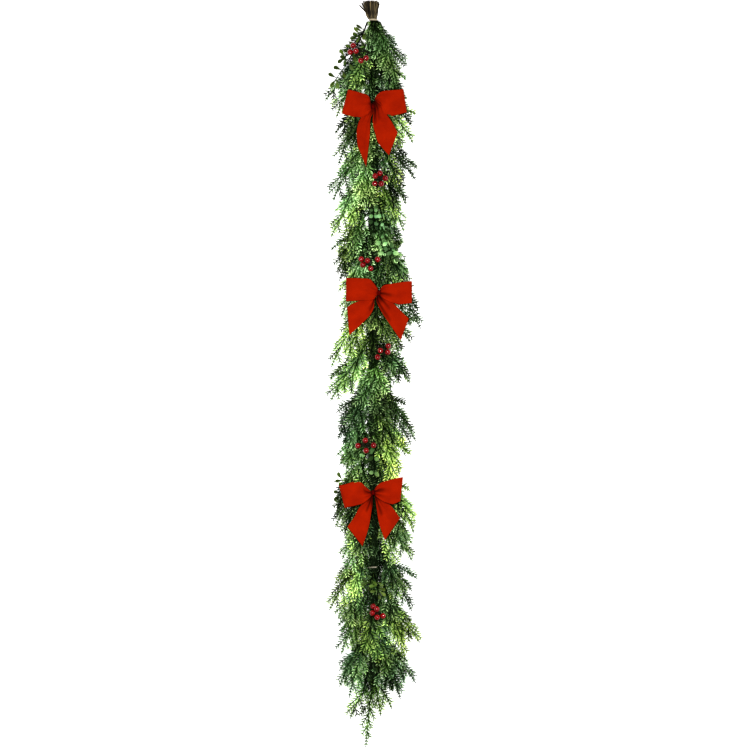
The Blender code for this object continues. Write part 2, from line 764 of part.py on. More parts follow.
def build():
    clear_scene()
    make_materials()
    add_spine()
    add_twigs()
    add_neck_tie()
    add_tie_wire()
    add_sprays()
    for number, bow in enumerate(BOWS, start=1):
        add_bow(number, bow)
    for number, (place, degrees, berries) in enumerate(BERRY_PICKS, start=1):
        add_berry_pick(number, place, degrees, berries)
    centre_on_origin()


build()
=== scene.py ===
"""Christmas garland: the dressed model. It lies on its back, its tuft of twigs towards +Y."""
import math
import random

import bpy
import numpy as np
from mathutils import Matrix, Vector


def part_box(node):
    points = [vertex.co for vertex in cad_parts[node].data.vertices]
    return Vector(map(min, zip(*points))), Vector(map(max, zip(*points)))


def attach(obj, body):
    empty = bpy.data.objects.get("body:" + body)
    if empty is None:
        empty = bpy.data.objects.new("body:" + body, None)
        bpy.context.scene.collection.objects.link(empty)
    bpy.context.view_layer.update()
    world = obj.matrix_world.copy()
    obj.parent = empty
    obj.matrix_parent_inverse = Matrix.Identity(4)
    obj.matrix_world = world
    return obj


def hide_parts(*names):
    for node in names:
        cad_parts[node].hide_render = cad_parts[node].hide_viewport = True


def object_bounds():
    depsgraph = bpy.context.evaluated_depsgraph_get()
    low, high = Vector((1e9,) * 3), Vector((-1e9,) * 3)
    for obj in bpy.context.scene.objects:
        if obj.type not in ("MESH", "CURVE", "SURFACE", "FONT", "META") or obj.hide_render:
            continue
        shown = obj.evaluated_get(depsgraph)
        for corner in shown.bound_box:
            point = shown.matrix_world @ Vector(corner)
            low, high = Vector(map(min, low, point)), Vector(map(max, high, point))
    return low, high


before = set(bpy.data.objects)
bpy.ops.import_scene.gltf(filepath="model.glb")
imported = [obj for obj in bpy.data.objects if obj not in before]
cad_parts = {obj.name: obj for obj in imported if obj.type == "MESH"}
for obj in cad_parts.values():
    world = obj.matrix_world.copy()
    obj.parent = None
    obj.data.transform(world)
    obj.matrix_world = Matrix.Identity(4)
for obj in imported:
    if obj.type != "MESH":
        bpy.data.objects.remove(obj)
cad_low, cad_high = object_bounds()

MM = 0.001
UP = np.array((0.0, 0.0, 1.0))
GREEN = "cedar_green"
LIME = "cedar_lime"
JUNIPER = "juniper"
BOX = "box"
EUCALYPTUS = "eucalyptus"

# The spine carries everything: x is measured from its axis, and a place along the garland is
# its distance below the top of the twigs, both in millimetres. y runs upwards and is zero at
# the top of the twigs.
SPINE_TOP = 52.5
SPINE_END = 1705.0
SPINE_RADIUS = 12.0
SPINE_HEIGHT = 24.0
NECK_PLACE = 46.0
WIRE_PLACE = 1394.0
spine_low, spine_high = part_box("spine")
OFFSET = np.array([
    (spine_low.x + spine_high.x) / 2,
    spine_high.y + SPINE_TOP * MM,
    (spine_low.z + spine_high.z) / 2 - SPINE_HEIGHT * MM,
])

# The sheets on which the sprays lie, as in the solids.
RISE = 0.22
DROOP = 22.0
DROOP_START = 20.0
DROOP_REACH = 100.0
FIRST_STATION = 54.0
STATION_PITCH = 102.0
STATIONS = 16
CEILING = 53.0
FROND_STEP = 4.2
CROWDED_STEP = 2.9
FROND_PARTING = 34.0
RIB_MIDDLE_OUT = 0.60
RIB_MIDDLE_DOWN = 0.34
BACK_FALL = 0.16

# What the fine needles and leaves keep to: they stay above the floor and under the bows.
FLOOR_GAP = 0.3
BOW_CLEARANCE = 60.0
HANG = 0.5
STEM_RAISED = 1.1
EDGE_REACH = 100.0
RIB_POINTS = 9

# The sprays' kinds and their fronds' tips: how far out, and how far down the garland. A front
# spray also has the degrees and the station of its root, and a back one its root's place.
LEFT_SPRAYS = (
    (BOX, ((54, 92), (87, 154), (104, 210))),
    (GREEN, ((120, 246), (92, 290), (52, 240))),
    (JUNIPER, ((96, 328), (86, 406), (54, 366))),
    (GREEN, ((85, 436), (100, 494))),
    (LIME, ((97, 520), (105, 583), (62, 558))),
    (JUNIPER, ((107, 614), (90, 666), (58, 664))),
    (GREEN, ((88, 716), (80, 780), (58, 822))),
    (LIME, ((78, 828), (104, 902), (65, 888))),
    (LIME, ((109, 934), (106, 986))),
    (JUNIPER, ((92, 1014), (80, 1042), (88, 1080))),
    (GREEN, ((92, 1120), (67, 1154))),
    (BOX, ((98, 1184), (96, 1230), (97, 1268))),
    (GREEN, ((84, 1308), (77, 1374))),
    (LIME, ((97, 1438), (109, 1500), (48, 1472))),
    (GREEN, ((88, 1540), (80, 1608))),
    (JUNIPER, ((85, 1650), (84, 1688), (60, 1714))),
)
RIGHT_SPRAYS = (
    (JUNIPER, ((61, 112), (84, 162))),
    (GREEN, ((82, 196), (68, 252))),
    (LIME, ((107, 278), (98, 352), (70, 368))),
    (JUNIPER, ((109, 414), (104, 442), (67, 470))),
    (GREEN, ((68, 516), (75, 570))),
    (EUCALYPTUS, ((68, 604), (84, 676))),
    (JUNIPER, ((96, 714), (110, 762), (116, 808))),
    (GREEN, ((112, 792), (92, 842), (64, 876))),
    (GREEN, ((84, 904), (90, 942))),
    (JUNIPER, ((82, 996), (87, 1042), (104, 1084))),
    (LIME, ((92, 1118), (65, 1166))),
    (LIME, ((92, 1208), (104, 1286))),
    (GREEN, ((97, 1338), (96, 1380))),
    (JUNIPER, ((109, 1424), (95, 1454), (94, 1502))),
    (LIME, ((95, 1534), (114, 1580), (74, 1584))),
    (JUNIPER, ((82, 1626), (104, 1680), (66, 1718))),
)
FRONT_SPRAYS = (
    (GREEN, 6, -0.66, ((4, 176), (34, 186), (58, 208))),
    (GREEN, -18, 2.5, ((-18, 520), (-34, 498))),
    (EUCALYPTUS, 0, 3.5, ((1, 584), (30, 566))),
    (GREEN, 0, 7.5, ((-27, 1012), (4, 1010), (26, 974))),
    (EUCALYPTUS, 0, 9.5, ((2, 1172), (-38, 1164))),
    (BOX, 0, 12.6, ((-12, 1452), (16, 1474))),
    (LIME, 0, 13.5, ((11, 1632), (-16, 1610))),
)
END_ROOT = 1672.0
END_SPRAY = (LIME, ((-58, 1766), (-19, 1835), (18, 1760), (46, 1742)))
END_SLIM = (1.1, 0.6, 0.9, 0.9)
BACK_SPRAYS = (
    (GREEN, 140, ((-78, 236), (72, 250))),
    (JUNIPER, 586, ((-80, 682), (76, 694))),
    (GREEN, 1030, ((-76, 1130), (80, 1122))),
    (JUNIPER, 1476, ((-74, 1572), (76, 1584))),
)

# Bows: the knot, then the loops and the tails, left before right, each as its two edges from the
# knot outwards, in places sideways and downwards from the knot, and its creases. The edges of a
# loop are its upper and its lower one, and those of a tail its outer and its inner one. A crease
# has its place across, from the first edge to the second, how far along it runs, and how deep it
# is, each as a share.
# A crease's depth also sets its painted shade: the deeper, the darker.
KNOT_HEIGHT = 73.0
BOWS = (
    ((-1, 263), (
        (((-7, -17), (-10, -23), (-16, -28), (-61, -41)),
         ((-4, 8), (-7, 14), (-14, 20), (-30, 28), (-76, 18)), ((0.4, 0.14, 0.5),)),
        (((4, -17), (9, -26), (22, -36), (60, -40), (74, -42)),
         ((7, -13), (19, -2), (24, 14), (37, 24), (82, 15)), ((0.55, 0.14, 0.5),)),
    ), (
        (((-6, -8), (-16, 14), (-32, 31), (-40, 60), (-38, 96)),
         ((3, -8), (2, 12), (-6, 28), (-8, 70), (-17, 148)), ((0.8, 0.34, 0.8), (0.45, 0.26, 0.4))),
        (((8, -17), (21, -4), (28, 12), (37, 24), (49, 43), (60, 63)),
         ((-3, -8), (1, 13), (-1, 31), (0, 47), (7, 72), (12, 88), (39, 120)),
         ((0.78, 0.42, 1), (0.46, 0.42, 0.8))),
    )),
    ((13.5, 719.5), (
        (((-2, -8), (-8, -17), (-16, -27), (-24, -34), (-80, -36)),
         ((-2, 3), (-8, 10), (-13, 16), (-24, 18), (-80, 21)), ((0.7, 0.1, 0.5),)),
        (((2, -8), (12, -18), (28, -21), (56, -26), (80, -28)),
         ((2, 6), (13, 16), (32, 25), (44, 29), (80, 25)), ((0.6, 0.44, 0.95), (0.25, 0.2, 0.5))),
    ), (
        (((-5, 2), (-18, 10), (-30, 14), (-61, 25), (-78, 35)),
         ((-3, 0), (-11, 18), (-12, 34), (-20, 52), (-33, 67), (-73, 104)),
         ((0.72, 0.44, 1), (0.92, 0.3, 0.7))),
        (((5, 1), (14, 10), (28, 19), (55, 46), (73, 63)),
         ((-4, 4), (-7, 18), (-1, 33), (7, 48), (20, 68), (53, 116)),
         ((0.84, 0.62, 1), (0.42, 0.46, 0.85))),
    )),
    ((-1, 1209), (
        (((-4, -3), (-9, -6), (-21, -17), (-27, -24), (-42, -28), (-62, -22), (-83, -17)),
         ((-3, 6), (-12, 16), (-31, 29), (-62, 35), (-69, 38)), ((0.38, 0.34, 0.95),)),
        (((3, -8), (14, -21), (25, -27), (61, -36), (73, -38)),
         ((4, 6), (14, 14), (30, 24), (44, 29), (66, 21)), ((0.42, 0.46, 0.95), (0.78, 0.5, 0.35))),
    ), (
        (((-4, 4), (-16, 18), (-34, 37), (-45, 58), (-63, 84)),
         ((-1, 6), (-2, 30), (-4, 45), (-11, 86), (-26, 132)), ((0.56, 0.42, 1), (0.9, 0.3, 0.5))),
        (((5, 4), (20, 16), (42, 31), (55, 47), (66, 63)),
         ((3, 4), (6, 18), (8, 34), (13, 68), (17, 84), (29, 117)),
         ((0.7, 0.56, 1), (0.3, 0.3, 0.45))),
    )),
)
BERRY_RADIUS = 7.2
BERRY_HEIGHT = 77.0
HUB_HEIGHT = 66.0
BERRY_PICKS = (
    (124, -33, ((-50, 114, 0), (-57, 130, -2), (-43, 128, 3), (-18, 145, 2), (-31, 151, -2))),
    (418, 26, ((16, 427, -1), (4, 434, 4), (29, 439, -1), (3, 452, -2), (19, 453, 3))),
    (628, -10, ((-30, 637, 0), (-15, 641, 3), (-26, 651, -2), (10, 638, 2), (-7, 660, 0))),
    (846, 20, ((36, 850, 2), (17, 861, 0), (35, 865, -2), (10, 877, -4))),
    (1070, -20, ((-20, 1081, 3), (-38, 1094, -1), (0, 1093, 2), (-18, 1106, -2))),
    (1488, 10, ((8, 1494, 3), (-3, 1504, -1), (9, 1514, 2), (23, 1511, -2), (-1, 1488, -8))),
)


class Nodes:
    """The nodes of one material. A socket's input is a value or another node's output."""

    def __init__(self, name):
        self.material = bpy.data.materials.new(name)
        self.material.use_nodes = True
        self.tree = self.material.node_tree
        self.shader = self.tree.nodes["Principled BSDF"]

    def fill(self, node, inputs):
        for name, value in inputs.items():
            if isinstance(value, bpy.types.NodeSocket):
                self.tree.links.new(value, node.inputs[name])
            else:
                node.inputs[name].default_value = value

    def add(self, kind, inputs, output, **values):
        node = self.tree.nodes.new(kind)
        for key, value in values.items():
            setattr(node, key, value)
        self.fill(node, inputs)
        return node.outputs[output]

    def noise(self, scale, detail=3, stretch=(1, 1, 1)):
        place = self.add("ShaderNodeTexCoord", {}, "Object")
        place = self.add("ShaderNodeMapping", {"Vector": place, "Scale": stretch}, "Vector")
        inputs = {"Vector": place, "Scale": scale, "Detail": detail}
        return self.add("ShaderNodeTexNoise", inputs, "Fac")

    def growth_and_shade(self, part):
        """The mesh's values: red runs from the root to the tip, partly painted shade and highlight,
        and on a ribbon is its painted shade; green is the tone, on fill sprays partly painted
        shade.
        """
        growth_and_shade = self.add("ShaderNodeAttribute", {}, "Color", attribute_name="growth_and_shade")
        return self.add("ShaderNodeSeparateColor", {"Color": growth_and_shade}, part)

    def ramp(self, source, *stops):
        ramp = self.tree.nodes.new("ShaderNodeValToRGB")
        elements = ramp.color_ramp.elements
        while len(elements) < len(stops):
            elements.new(0.5)
        for element, (place, *colour) in zip(elements, stops):
            element.position = place
            element.color = (*colour, 1)
        self.fill(ramp, {"Fac": source})
        return ramp.outputs["Color"]

    def tinted(self, colour, source, *stops):
        """The colour, times a ramp."""
        mix = self.tree.nodes.new("ShaderNodeMix")
        mix.data_type = "RGBA"
        mix.blend_type = "MULTIPLY"
        mix.inputs["Factor"].default_value = 1
        first, second = [i for i in mix.inputs if i.name in "AB" and i.type == "RGBA"]
        self.tree.links.new(colour, first)
        self.tree.links.new(self.ramp(source, *stops), second)
        return [o for o in mix.outputs if o.type == "RGBA"][0]

    def finish(self, colour, wear, roughness, relief, strength, distance, shine):
        inputs = {"Value": wear, "To Min": roughness[0], "To Max": roughness[1]}
        worn = self.add("ShaderNodeMapRange", inputs, "Result")
        inputs = {"Strength": strength, "Distance": distance, "Height": relief}
        normal = self.add("ShaderNodeBump", inputs, "Normal")
        inputs = {"Base Color": colour, "Roughness": worn, "Normal": normal, **shine}
        self.fill(self.shader, inputs)
        return self.material


def foliage(name, stops, roughness=(0.38, 0.6)):
    """Plastic foliage: its colour runs from the root to the tips, partly painted shade and painted
    highlight, and varies from leaf to leaf.
    """
    made = Nodes(name)
    colour = made.ramp(made.growth_and_shade("Red"), *stops)
    colour = made.tinted(colour, made.growth_and_shade("Green"), (0, 0.10, 0.13, 0.05),
                         (0.5, 1.72, 1.56, 1.46), (1, 5.6, 4.8, 5))
    patch = made.noise(260)
    colour = made.tinted(colour, patch, (0.30, 0.72, 0.74, 0.70), (0.72, 1.18, 1.16, 1.1))
    colour = made.tinted(colour, made.noise(11, 2), (0.36, 0.86, 0.98, 1.12),
                         (0.64, 1.08, 1.02, 0.90))
    return made.finish(colour, patch, roughness, patch, 0.25, 0.0006, {"Specular IOR Level": 0.09})


def velvet():
    """Red velvet, darker where its values paint shade: painted shade in the creases and by the
    knot.
    """
    made = Nodes("red_velvet")
    broad = made.noise(38, 4)
    pile = made.noise(1500, 2, (1, 0.6, 1))
    colour = made.ramp(broad, (0.25, 0.255, 0.016, 0.001), (0.75, 0.350, 0.024, 0.001))
    colour = made.tinted(colour, pile, (0.30, 0.84, 0.82, 0.82), (0.72, 1.14, 1.15, 1.15))
    # Painted shade from the ribbon's values.
    colour = made.tinted(colour, made.growth_and_shade("Red"), (0, 0.07, 0.12, 0.2), (1, 1, 1, 1))
    return made.finish(colour, broad, (0.72, 0.9), pile, 0.35, 0.0003, {
        "Specular IOR Level": 0.04, "Sheen Weight": 0.10, "Sheen Roughness": 0.45,
        "Sheen Tint": (1, 0.10, 0.12, 1),
    })


def plain(name, scale, dark, light, roughness, stretch=(1, 1, 1), bump=0.4, coat=0,
          specular=0.3, toned=False):
    """A matt or glossy surface whose colour and roughness follow one noise. A toned one is
    lighter or darker by its mesh's growth value as well."""
    made = Nodes(name)
    patch = made.noise(scale, 4, stretch)
    colour = made.ramp(patch, (0.3, *dark), (0.72, *light))
    if toned:
        colour = made.tinted(colour, made.growth_and_shade("Green"), (0, 0.25, 0.25, 0.25),
                             (1, 2.2, 2.2, 2.1))
    shine = {"Specular IOR Level": specular}
    if coat:
        shine.update({"Coat Weight": coat, "Coat Roughness": 0.08})
    return made.finish(colour, patch, roughness, patch, bump, 0.0005, shine)


MATERIALS = {
    # Each foliage ramp runs from a near-black root to a pale tip: partly the real dark stems and
    # paler new growth, partly painted shade at the roots and painted highlight at the tips.
    GREEN: foliage("cedar_green_fine", (
        (0, 0.006, 0.015, 0.001), (0.25, 0.042, 0.1, 0.026), (0.6, 0.29, 0.425, 0.22),
        (1, 0.56, 0.7, 0.46),
    )),
    LIME: foliage("cedar_lime_fine", (
        (0, 0.007, 0.017, 0.001), (0.22, 0.044, 0.1, 0.02), (0.45, 0.19, 0.3, 0.1),
        (0.66, 0.345, 0.47, 0.16), (1, 0.5, 0.61, 0.3),
    )),
    JUNIPER: foliage("juniper_fine", (
        (0, 0.003, 0.007, 0.001), (0.3, 0.017, 0.042, 0.015), (0.6, 0.135, 0.21, 0.115),
        (1, 0.32, 0.43, 0.27),
    ), (0.4, 0.6)),
    BOX: foliage("box_fine", (
        (0, 0.02, 0.036, 0.008), (0.5, 0.07, 0.115, 0.025), (1, 0.2, 0.28, 0.08),
    ), (0.3, 0.5)),
    EUCALYPTUS: foliage("eucalyptus_fine", (
        (0, 0.016, 0.042, 0.014), (0.5, 0.058, 0.125, 0.048), (1, 0.19, 0.295, 0.15),
    ), (0.45, 0.65)),
    "ribbon": velvet(),
    # The band is the tie at the knot; its red, much darker than the ribbon, is painted shade of the
    # fold there.
    "band": plain("dark_red_band", 300, (0.07, 0.002, 0.001), (0.15, 0.005, 0.002), (0.8, 0.95),
                  specular=0.03),
    "berry": plain("berry_skin", 90, (0.17, 0.002, 0.004), (0.31, 0.004, 0.007), (0.16, 0.26),
                   bump=0.06, coat=0.5, specular=0.5),
    "calyx": plain("berry_calyx", 500, (0.02, 0.012, 0.008), (0.05, 0.03, 0.02), (0.6, 0.8)),
    # The stalk's dark colour also serves the bracts, partly as painted shade between the berries.
    "stalk": plain("berry_stalk", 300, (0.008, 0.01, 0.004), (0.028, 0.03, 0.011), (0.5, 0.8)),
    "twigs": plain("twig_bark", 160, (0.036, 0.028, 0.015), (0.15, 0.118, 0.068), (0.7, 0.95),
                   (3, 0.35, 3), 0.9, toned=True),
    "cut_wood": plain("cut_wood", 500, (0.33, 0.24, 0.15), (0.52, 0.41, 0.28), (0.7, 0.9)),
    "twine": plain("twine", 700, (0.3, 0.25, 0.17), (0.62, 0.55, 0.42), (0.8, 0.95)),
    "wire": plain("coated_wire", 400, (0.32, 0.29, 0.22), (0.52, 0.48, 0.4), (0.35, 0.6)),
    "spine": plain("wrapped_stem", 220, (0.003, 0.006, 0.002), (0.014, 0.026, 0.009), (0.7, 0.95),
                   (1, 3, 1), 0.9, specular=0.1),
    "filament": plain("pale_filament", 300, (0.22, 0.25, 0.18), (0.4, 0.42, 0.32), (0.5, 0.7)),
}


class Builder:
    """Collects the triangles of one piece, in millimetres, with a growth value for each point,
    which also carries painted shade.
    """

    def __init__(self):
        self.parts = []
        self.count = 0

    def add(self, points, faces, grown_and_shade=0.5, tone=0.5, slot=0):
        points = np.asarray(points, float).reshape(-1, 3)
        growth_and_shade = np.empty((len(points), 2))
        growth_and_shade[:, 0], growth_and_shade[:, 1] = grown_and_shade, tone
        self.parts.append((points, faces + self.count, np.full(len(faces), slot), growth_and_shade))
        self.count += len(points)

    def finish(self, name, *materials, slot=None, node=None, smooth=False):
        """Makes the piece. The slot argument is not used."""
        points, faces, slots, growth_and_shade = [np.concatenate(part) for part in zip(*self.parts)]
        mesh = bpy.data.meshes.new(name)
        mesh.vertices.add(len(points))
        mesh.vertices.foreach_set("co", (points * MM + OFFSET).astype(np.float32).ravel())
        mesh.loops.add(len(faces) * 3)
        mesh.loops.foreach_set("vertex_index", faces.astype(np.int32).ravel())
        mesh.polygons.add(len(faces))
        mesh.polygons.foreach_set("loop_start", np.arange(0, len(faces) * 3, 3, dtype=np.int32))
        mesh.polygons.foreach_set("material_index", slots.astype(np.int32))
        mesh.update(calc_edges=True)
        colours = np.ones((len(points), 4), np.float32)
        colours[:, :2] = np.clip(growth_and_shade, 0, 1)
        colours[:, 2] = 0.5
        layer = mesh.color_attributes.new("growth_and_shade", "FLOAT_COLOR", "POINT")
        layer.data.foreach_set("color", colours.ravel())
        if not smooth:
            mesh.shade_flat()
        for material in materials:
            mesh.materials.append(MATERIALS[material])
        made = bpy.data.objects.new(name, mesh)
        bpy.context.scene.collection.objects.link(made)
        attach(made, "root")
        if node:
            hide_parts(node)
        return made


def unit(vectors):
    return vectors / np.maximum(np.linalg.norm(vectors, axis=-1, keepdims=True), 1e-9)


def band_faces(rows, across, closed=True):
    """Two triangles for each cell of a grid of points, whose rows are closed rings or open."""
    start = across * np.arange(rows - 1)[:, None]
    step = np.arange(across if closed else across - 1)
    a, b = (start + step).ravel(), (start + (step + 1) % across).ravel()
    c, d = b + across, a + across
    return np.concatenate([np.stack([a, b, c], -1), np.stack([a, c, d], -1)])


def fan(centre, first, sides):
    """Triangles from one point to a ring of points."""
    step = np.arange(sides)
    return np.stack([np.full(sides, centre), first + step, first + (step + 1) % sides], -1)


NEEDLE_FACES = np.concatenate([fan(0, 1, 3)[:, ::-1], band_faces(2, 3) + 1, fan(7, 4, 3)])
NEEDLE_POINTS = 8
BLADE_RINGS = (0.14, 0.60)
STALK_RINGS = (0.03, 0.93)


def needles(base, ahead, up, length, width, thick, rings=BLADE_RINGS):
    """Slim closed blades: a point at the root, two rings of three, and a point at the tip."""
    side = unit(np.cross(ahead, up))
    over = np.cross(side, ahead)
    length = np.broadcast_to(length, len(base))[:, None]
    width = np.broadcast_to(width, len(base))[:, None]
    rings = np.broadcast_to(rings, (len(base), 2))
    near = base + ahead * length * rings[:, :1]
    far = base + ahead * length * rings[:, 1:]
    return np.stack([
        base,
        near + side * width * 0.42,
        near + over * thick,
        near - side * width * 0.42,
        far + side * width * 0.50,
        far + over * thick,
        far - side * width * 0.50,
        base + ahead * length,
    ], axis=1)


def needle_faces(count):
    return (NEEDLE_FACES[None] + NEEDLE_POINTS * np.arange(count)[:, None, None]).reshape(-1, 3)


def leaf(stops, base, ahead, up, length, width, fold, cup):
    """One leaf as a thin closed lens with a folded midrib, and its triangles. A stop is a place
    along the leaf, and the half width there as a share of the widest."""
    side = unit(np.cross(ahead, up))
    over = np.cross(side, ahead)
    place, half = np.array(stops).T[:, :, None]
    middle = base + ahead * length * place - over * cup * length * place ** 2
    edge = side * width / 2 * half
    lift = over * fold * width / 2 * half
    rings = [middle + edge + lift, middle + over * 0.25, middle - edge + lift, middle - over * 0.30]
    tip = base + ahead * length - over * cup * length
    last = 4 * (len(stops) - 1)
    faces = [band_faces(len(stops), 4), fan(last + 4, last, 4), [(0, 3, 2), (0, 2, 1)]]
    return np.concatenate([np.stack(rings, 1).reshape(-1, 3), [tip]]), np.concatenate(faces)


def tube(points, radii, sides):
    """A closed tube through the points, as triangles."""
    points = np.asarray(points, float)
    ahead = unit(np.gradient(points, axis=0))
    across = np.cross(ahead[0], UP)
    if np.linalg.norm(across) < 0.1:
        across = np.array((1.0, 0.0, 0.0))
    angles = math.tau * np.arange(sides)[:, None] / sides
    rings = []
    for point, way, radius in zip(points, ahead, np.broadcast_to(radii, len(points))):
        across = unit(across - way * across.dot(way))
        ring = np.cos(angles) * across + np.sin(angles) * np.cross(way, across)
        rings.append(point + ring * radius)
    end = len(points) * sides
    faces = [band_faces(len(points), sides), fan(end, 0, sides)[:, ::-1],
             fan(end + 1, end - sides, sides)]
    return np.concatenate(rings + [points[:1], points[-1:]]), np.concatenate(faces)


def ball(centre, radius, segments, rings):
    polar = math.pi * np.arange(1, rings)[:, None] / rings
    angle = math.tau * np.arange(segments) / segments
    x, y = np.sin(polar) * np.cos(angle), np.sin(polar) * np.sin(angle)
    middle = np.stack([x, y, np.broadcast_to(np.cos(polar), x.shape)], -1).reshape(-1, 3)
    last = len(middle) + 1
    faces = [fan(0, 1, segments), band_faces(rings - 1, segments)[:, ::-1] + 1,
             fan(last, last - segments, segments)[:, ::-1]]
    return np.concatenate([[UP], middle, [-UP]]) * radius + centre, np.concatenate(faces)


def sheet_height(station_place, x, y):
    """The height of a station's sheet at a place in plan; y is upwards from the top."""
    beyond = np.maximum(0, np.abs(x) - DROOP_START)
    drop = DROOP * (beyond / DROOP_REACH) ** 2
    return SPINE_HEIGHT + 1 + RISE * (-y - station_place) - drop


def station(index):
    return FIRST_STATION + index * STATION_PITCH


class Rib:
    """The centre line of a frond in plan, with a rule for its height."""

    def __init__(self, root, tip, height, bow):
        root, tip = np.array(root, float), np.array(tip, float)
        chord = tip - root
        middle = root + chord * np.array((RIB_MIDDLE_OUT, RIB_MIDDLE_DOWN))
        middle = middle + np.array((-chord[1], chord[0])) * bow
        t = np.linspace(0, 1, 40)[:, None]
        self.line = root * (1 - t) ** 2 + middle * 2 * t * (1 - t) + tip * t ** 2
        steps = np.linalg.norm(np.diff(self.line, axis=0), axis=1)
        self.places = np.concatenate(([0], np.cumsum(steps)))
        self.length = self.places[-1]
        self.ahead = unit(np.gradient(self.line, axis=0))
        self.height = height

    def read(self, table, along):
        return np.stack([np.interp(along, self.places, table[:, k]) for k in (0, 1)], -1)

    def down(self, along):
        """The way down the garland, as (along, across, over)."""
        x, y = self.read(self.ahead, along)
        return np.array((-y, -x, 0.0))

    def at(self, spots):
        """Turns (along, across, over) into (x, y, z)."""
        u = np.clip(spots[..., 0], 0, self.length)
        beyond = spots[..., 0] - u
        ahead = unit(self.read(self.ahead, u))
        side = np.stack([-ahead[..., 1], ahead[..., 0]], -1)
        plan = self.read(self.line, u) + ahead * beyond[..., None] + side * spots[..., 1:2]
        z = self.height(plan[..., 0], plan[..., 1], spots[..., 0]) + spots[..., 2]
        return np.concatenate([plan, z[..., None]], -1)


def rachis(build, rib, radius, tone):
    along = np.linspace(0, rib.length, RIB_POINTS)
    spots = np.stack([along, np.zeros(RIB_POINTS), np.full(RIB_POINTS, STEM_RAISED)], -1)
    share = np.concatenate([np.repeat(along / rib.length, 4), [0, 1]])
    radii = np.linspace(radius, radius * 0.62, RIB_POINTS)
    build.add(*tube(rib.at(spots), radii, 4), share * 0.12, tone)


def clear_of_floor(blades):
    """Raises each blade or leaf whose lowest point would be under the floor."""
    lowest = blades[..., 2].min(axis=1)
    blades[..., 2] += np.maximum(0, FLOOR_GAP - lowest)[:, None]
    return blades


def comb(build, rib, draw, style, tone, roll, slim):
    """A needled spray: needles in two ranks along the rib and along its side branches."""
    vary = draw.uniform
    length = rib.length - 0.5 * style["needle"]
    bare = style["bare"]
    stems = [(np.zeros(3), np.array((1.0, 0.0, 0.0)), length)]
    most = style["share"] * length + style["reach"]
    count = max(1, int(length * 0.80 / style["pitch"]))
    for i in range(count):
        for sign in (-1, 1):
            u = length * (bare + (0.88 - bare) * (i + (0.5 if sign > 0 else 0)) / count)
            swell = 0.12 + math.sin(math.pi * (0.1 + 0.9 * u / length) ** 0.8)
            reach = most * swell * vary(0.75, 1.15) * slim
            reach = min(reach, max(8, (length - u) * 1.15))
            sweep = math.radians(style["sweep"] * vary(0.82, 1.18))
            lean = np.array((math.cos(sweep), sign * math.sin(sweep), vary(-0.28, 0.28)))
            stems.append((np.array((u, 0.0, 0.0)), lean + rib.down(u) * HANG, reach))
    rows = []
    for k, (base, lean, reach) in enumerate(stems):
        lean = unit(lean)
        steps = max(2, int(reach / style["step"]))
        stem_tone = tone + (vary(-0.32, 0.32) if k else 0)
        if k:
            rows.append((*(base + UP * STEM_RAISED), *lean, reach, style["stem"], 0, 0.15,
                         stem_tone - 0.1, *STALK_RINGS))
        for j in range(steps):
            place = (j + 0.6) / steps
            if k == 0 and place < bare:
                continue
            spot = base + lean * reach * place
            far = min(1, spot[0] / length)
            # Darker near the roots and paler at the tips: partly real growth, partly painted shade
            # and painted highlight.
            grown_and_shade = 0.16 * far ** 1.5 + (0.14 * place if k else 0) + 0.12
            scale = 1 if k else 0.9
            size = style["needle"] * scale * (1.08 - 0.5 * place ** 2) * vary(0.78, 1.18)
            for hand in (-1, 1):
                turn = math.radians(style["fan"]) * vary(0.75, 1.2)
                c, s = math.cos(turn), math.sin(turn) * hand
                lift = lean[2] + vary(-0.35, 0.35)
                way = np.array((lean[0] * c - lean[1] * s, lean[0] * s + lean[1] * c, lift))
                rows.append((*spot, *way, size, style["width"], 0.5 * grown_and_shade, grown_and_shade + style["tip"],
                             stem_tone + vary(-0.15, 0.15), *BLADE_RINGS))
    needle_field(build, rib, draw, np.array(rows), style["edge"], roll)
    rachis(build, rib, style["rachis"], tone - 0.15)


def needle_field(build, rib, draw, rows, edge, roll):
    """Makes the needles in the frond's own flat space and then bends them on to its rib. A row has
    the root, the way, length, width, growth at root and tip (partly painted shade and highlight),
    tone, and the rings' places."""
    count = len(rows)
    ahead = unit(rows[:, 3:6])
    lengths, widths, low, high, tones = rows[:, 6:11].T
    spread = [draw.uniform(-0.55, 0.55) for _ in rows]
    ups = np.stack([np.zeros(count), spread, np.ones(count)], -1)
    ups = unit(ups - ahead * (ups * ahead).sum(1, keepdims=True))
    blades = needles(rows[:, :3], ahead, ups, lengths, widths, widths[:, None] * 0.32, rows[:, 11:])
    c, s = math.cos(roll), math.sin(roll)
    blades[..., 1:] = blades[..., 1:] @ np.array(((c, s), (-s, c)))
    near, far = low * 0.75 + high * 0.25, low * 0.3 + high * 0.7
    grown_and_shade = np.stack([low] + [near] * 3 + [far] * 3 + [high], 1)
    placed = rib.at(blades)
    placed[..., 2] -= 0.95 * np.maximum(0, placed[..., 2] - BOW_CLEARANCE)
    placed = clear_of_floor(placed)
    tone = tones[:, None] - edge * (placed[..., 0] / EDGE_REACH) ** 2
    build.add(placed, needle_faces(count), grown_and_shade.ravel(), tone.ravel())


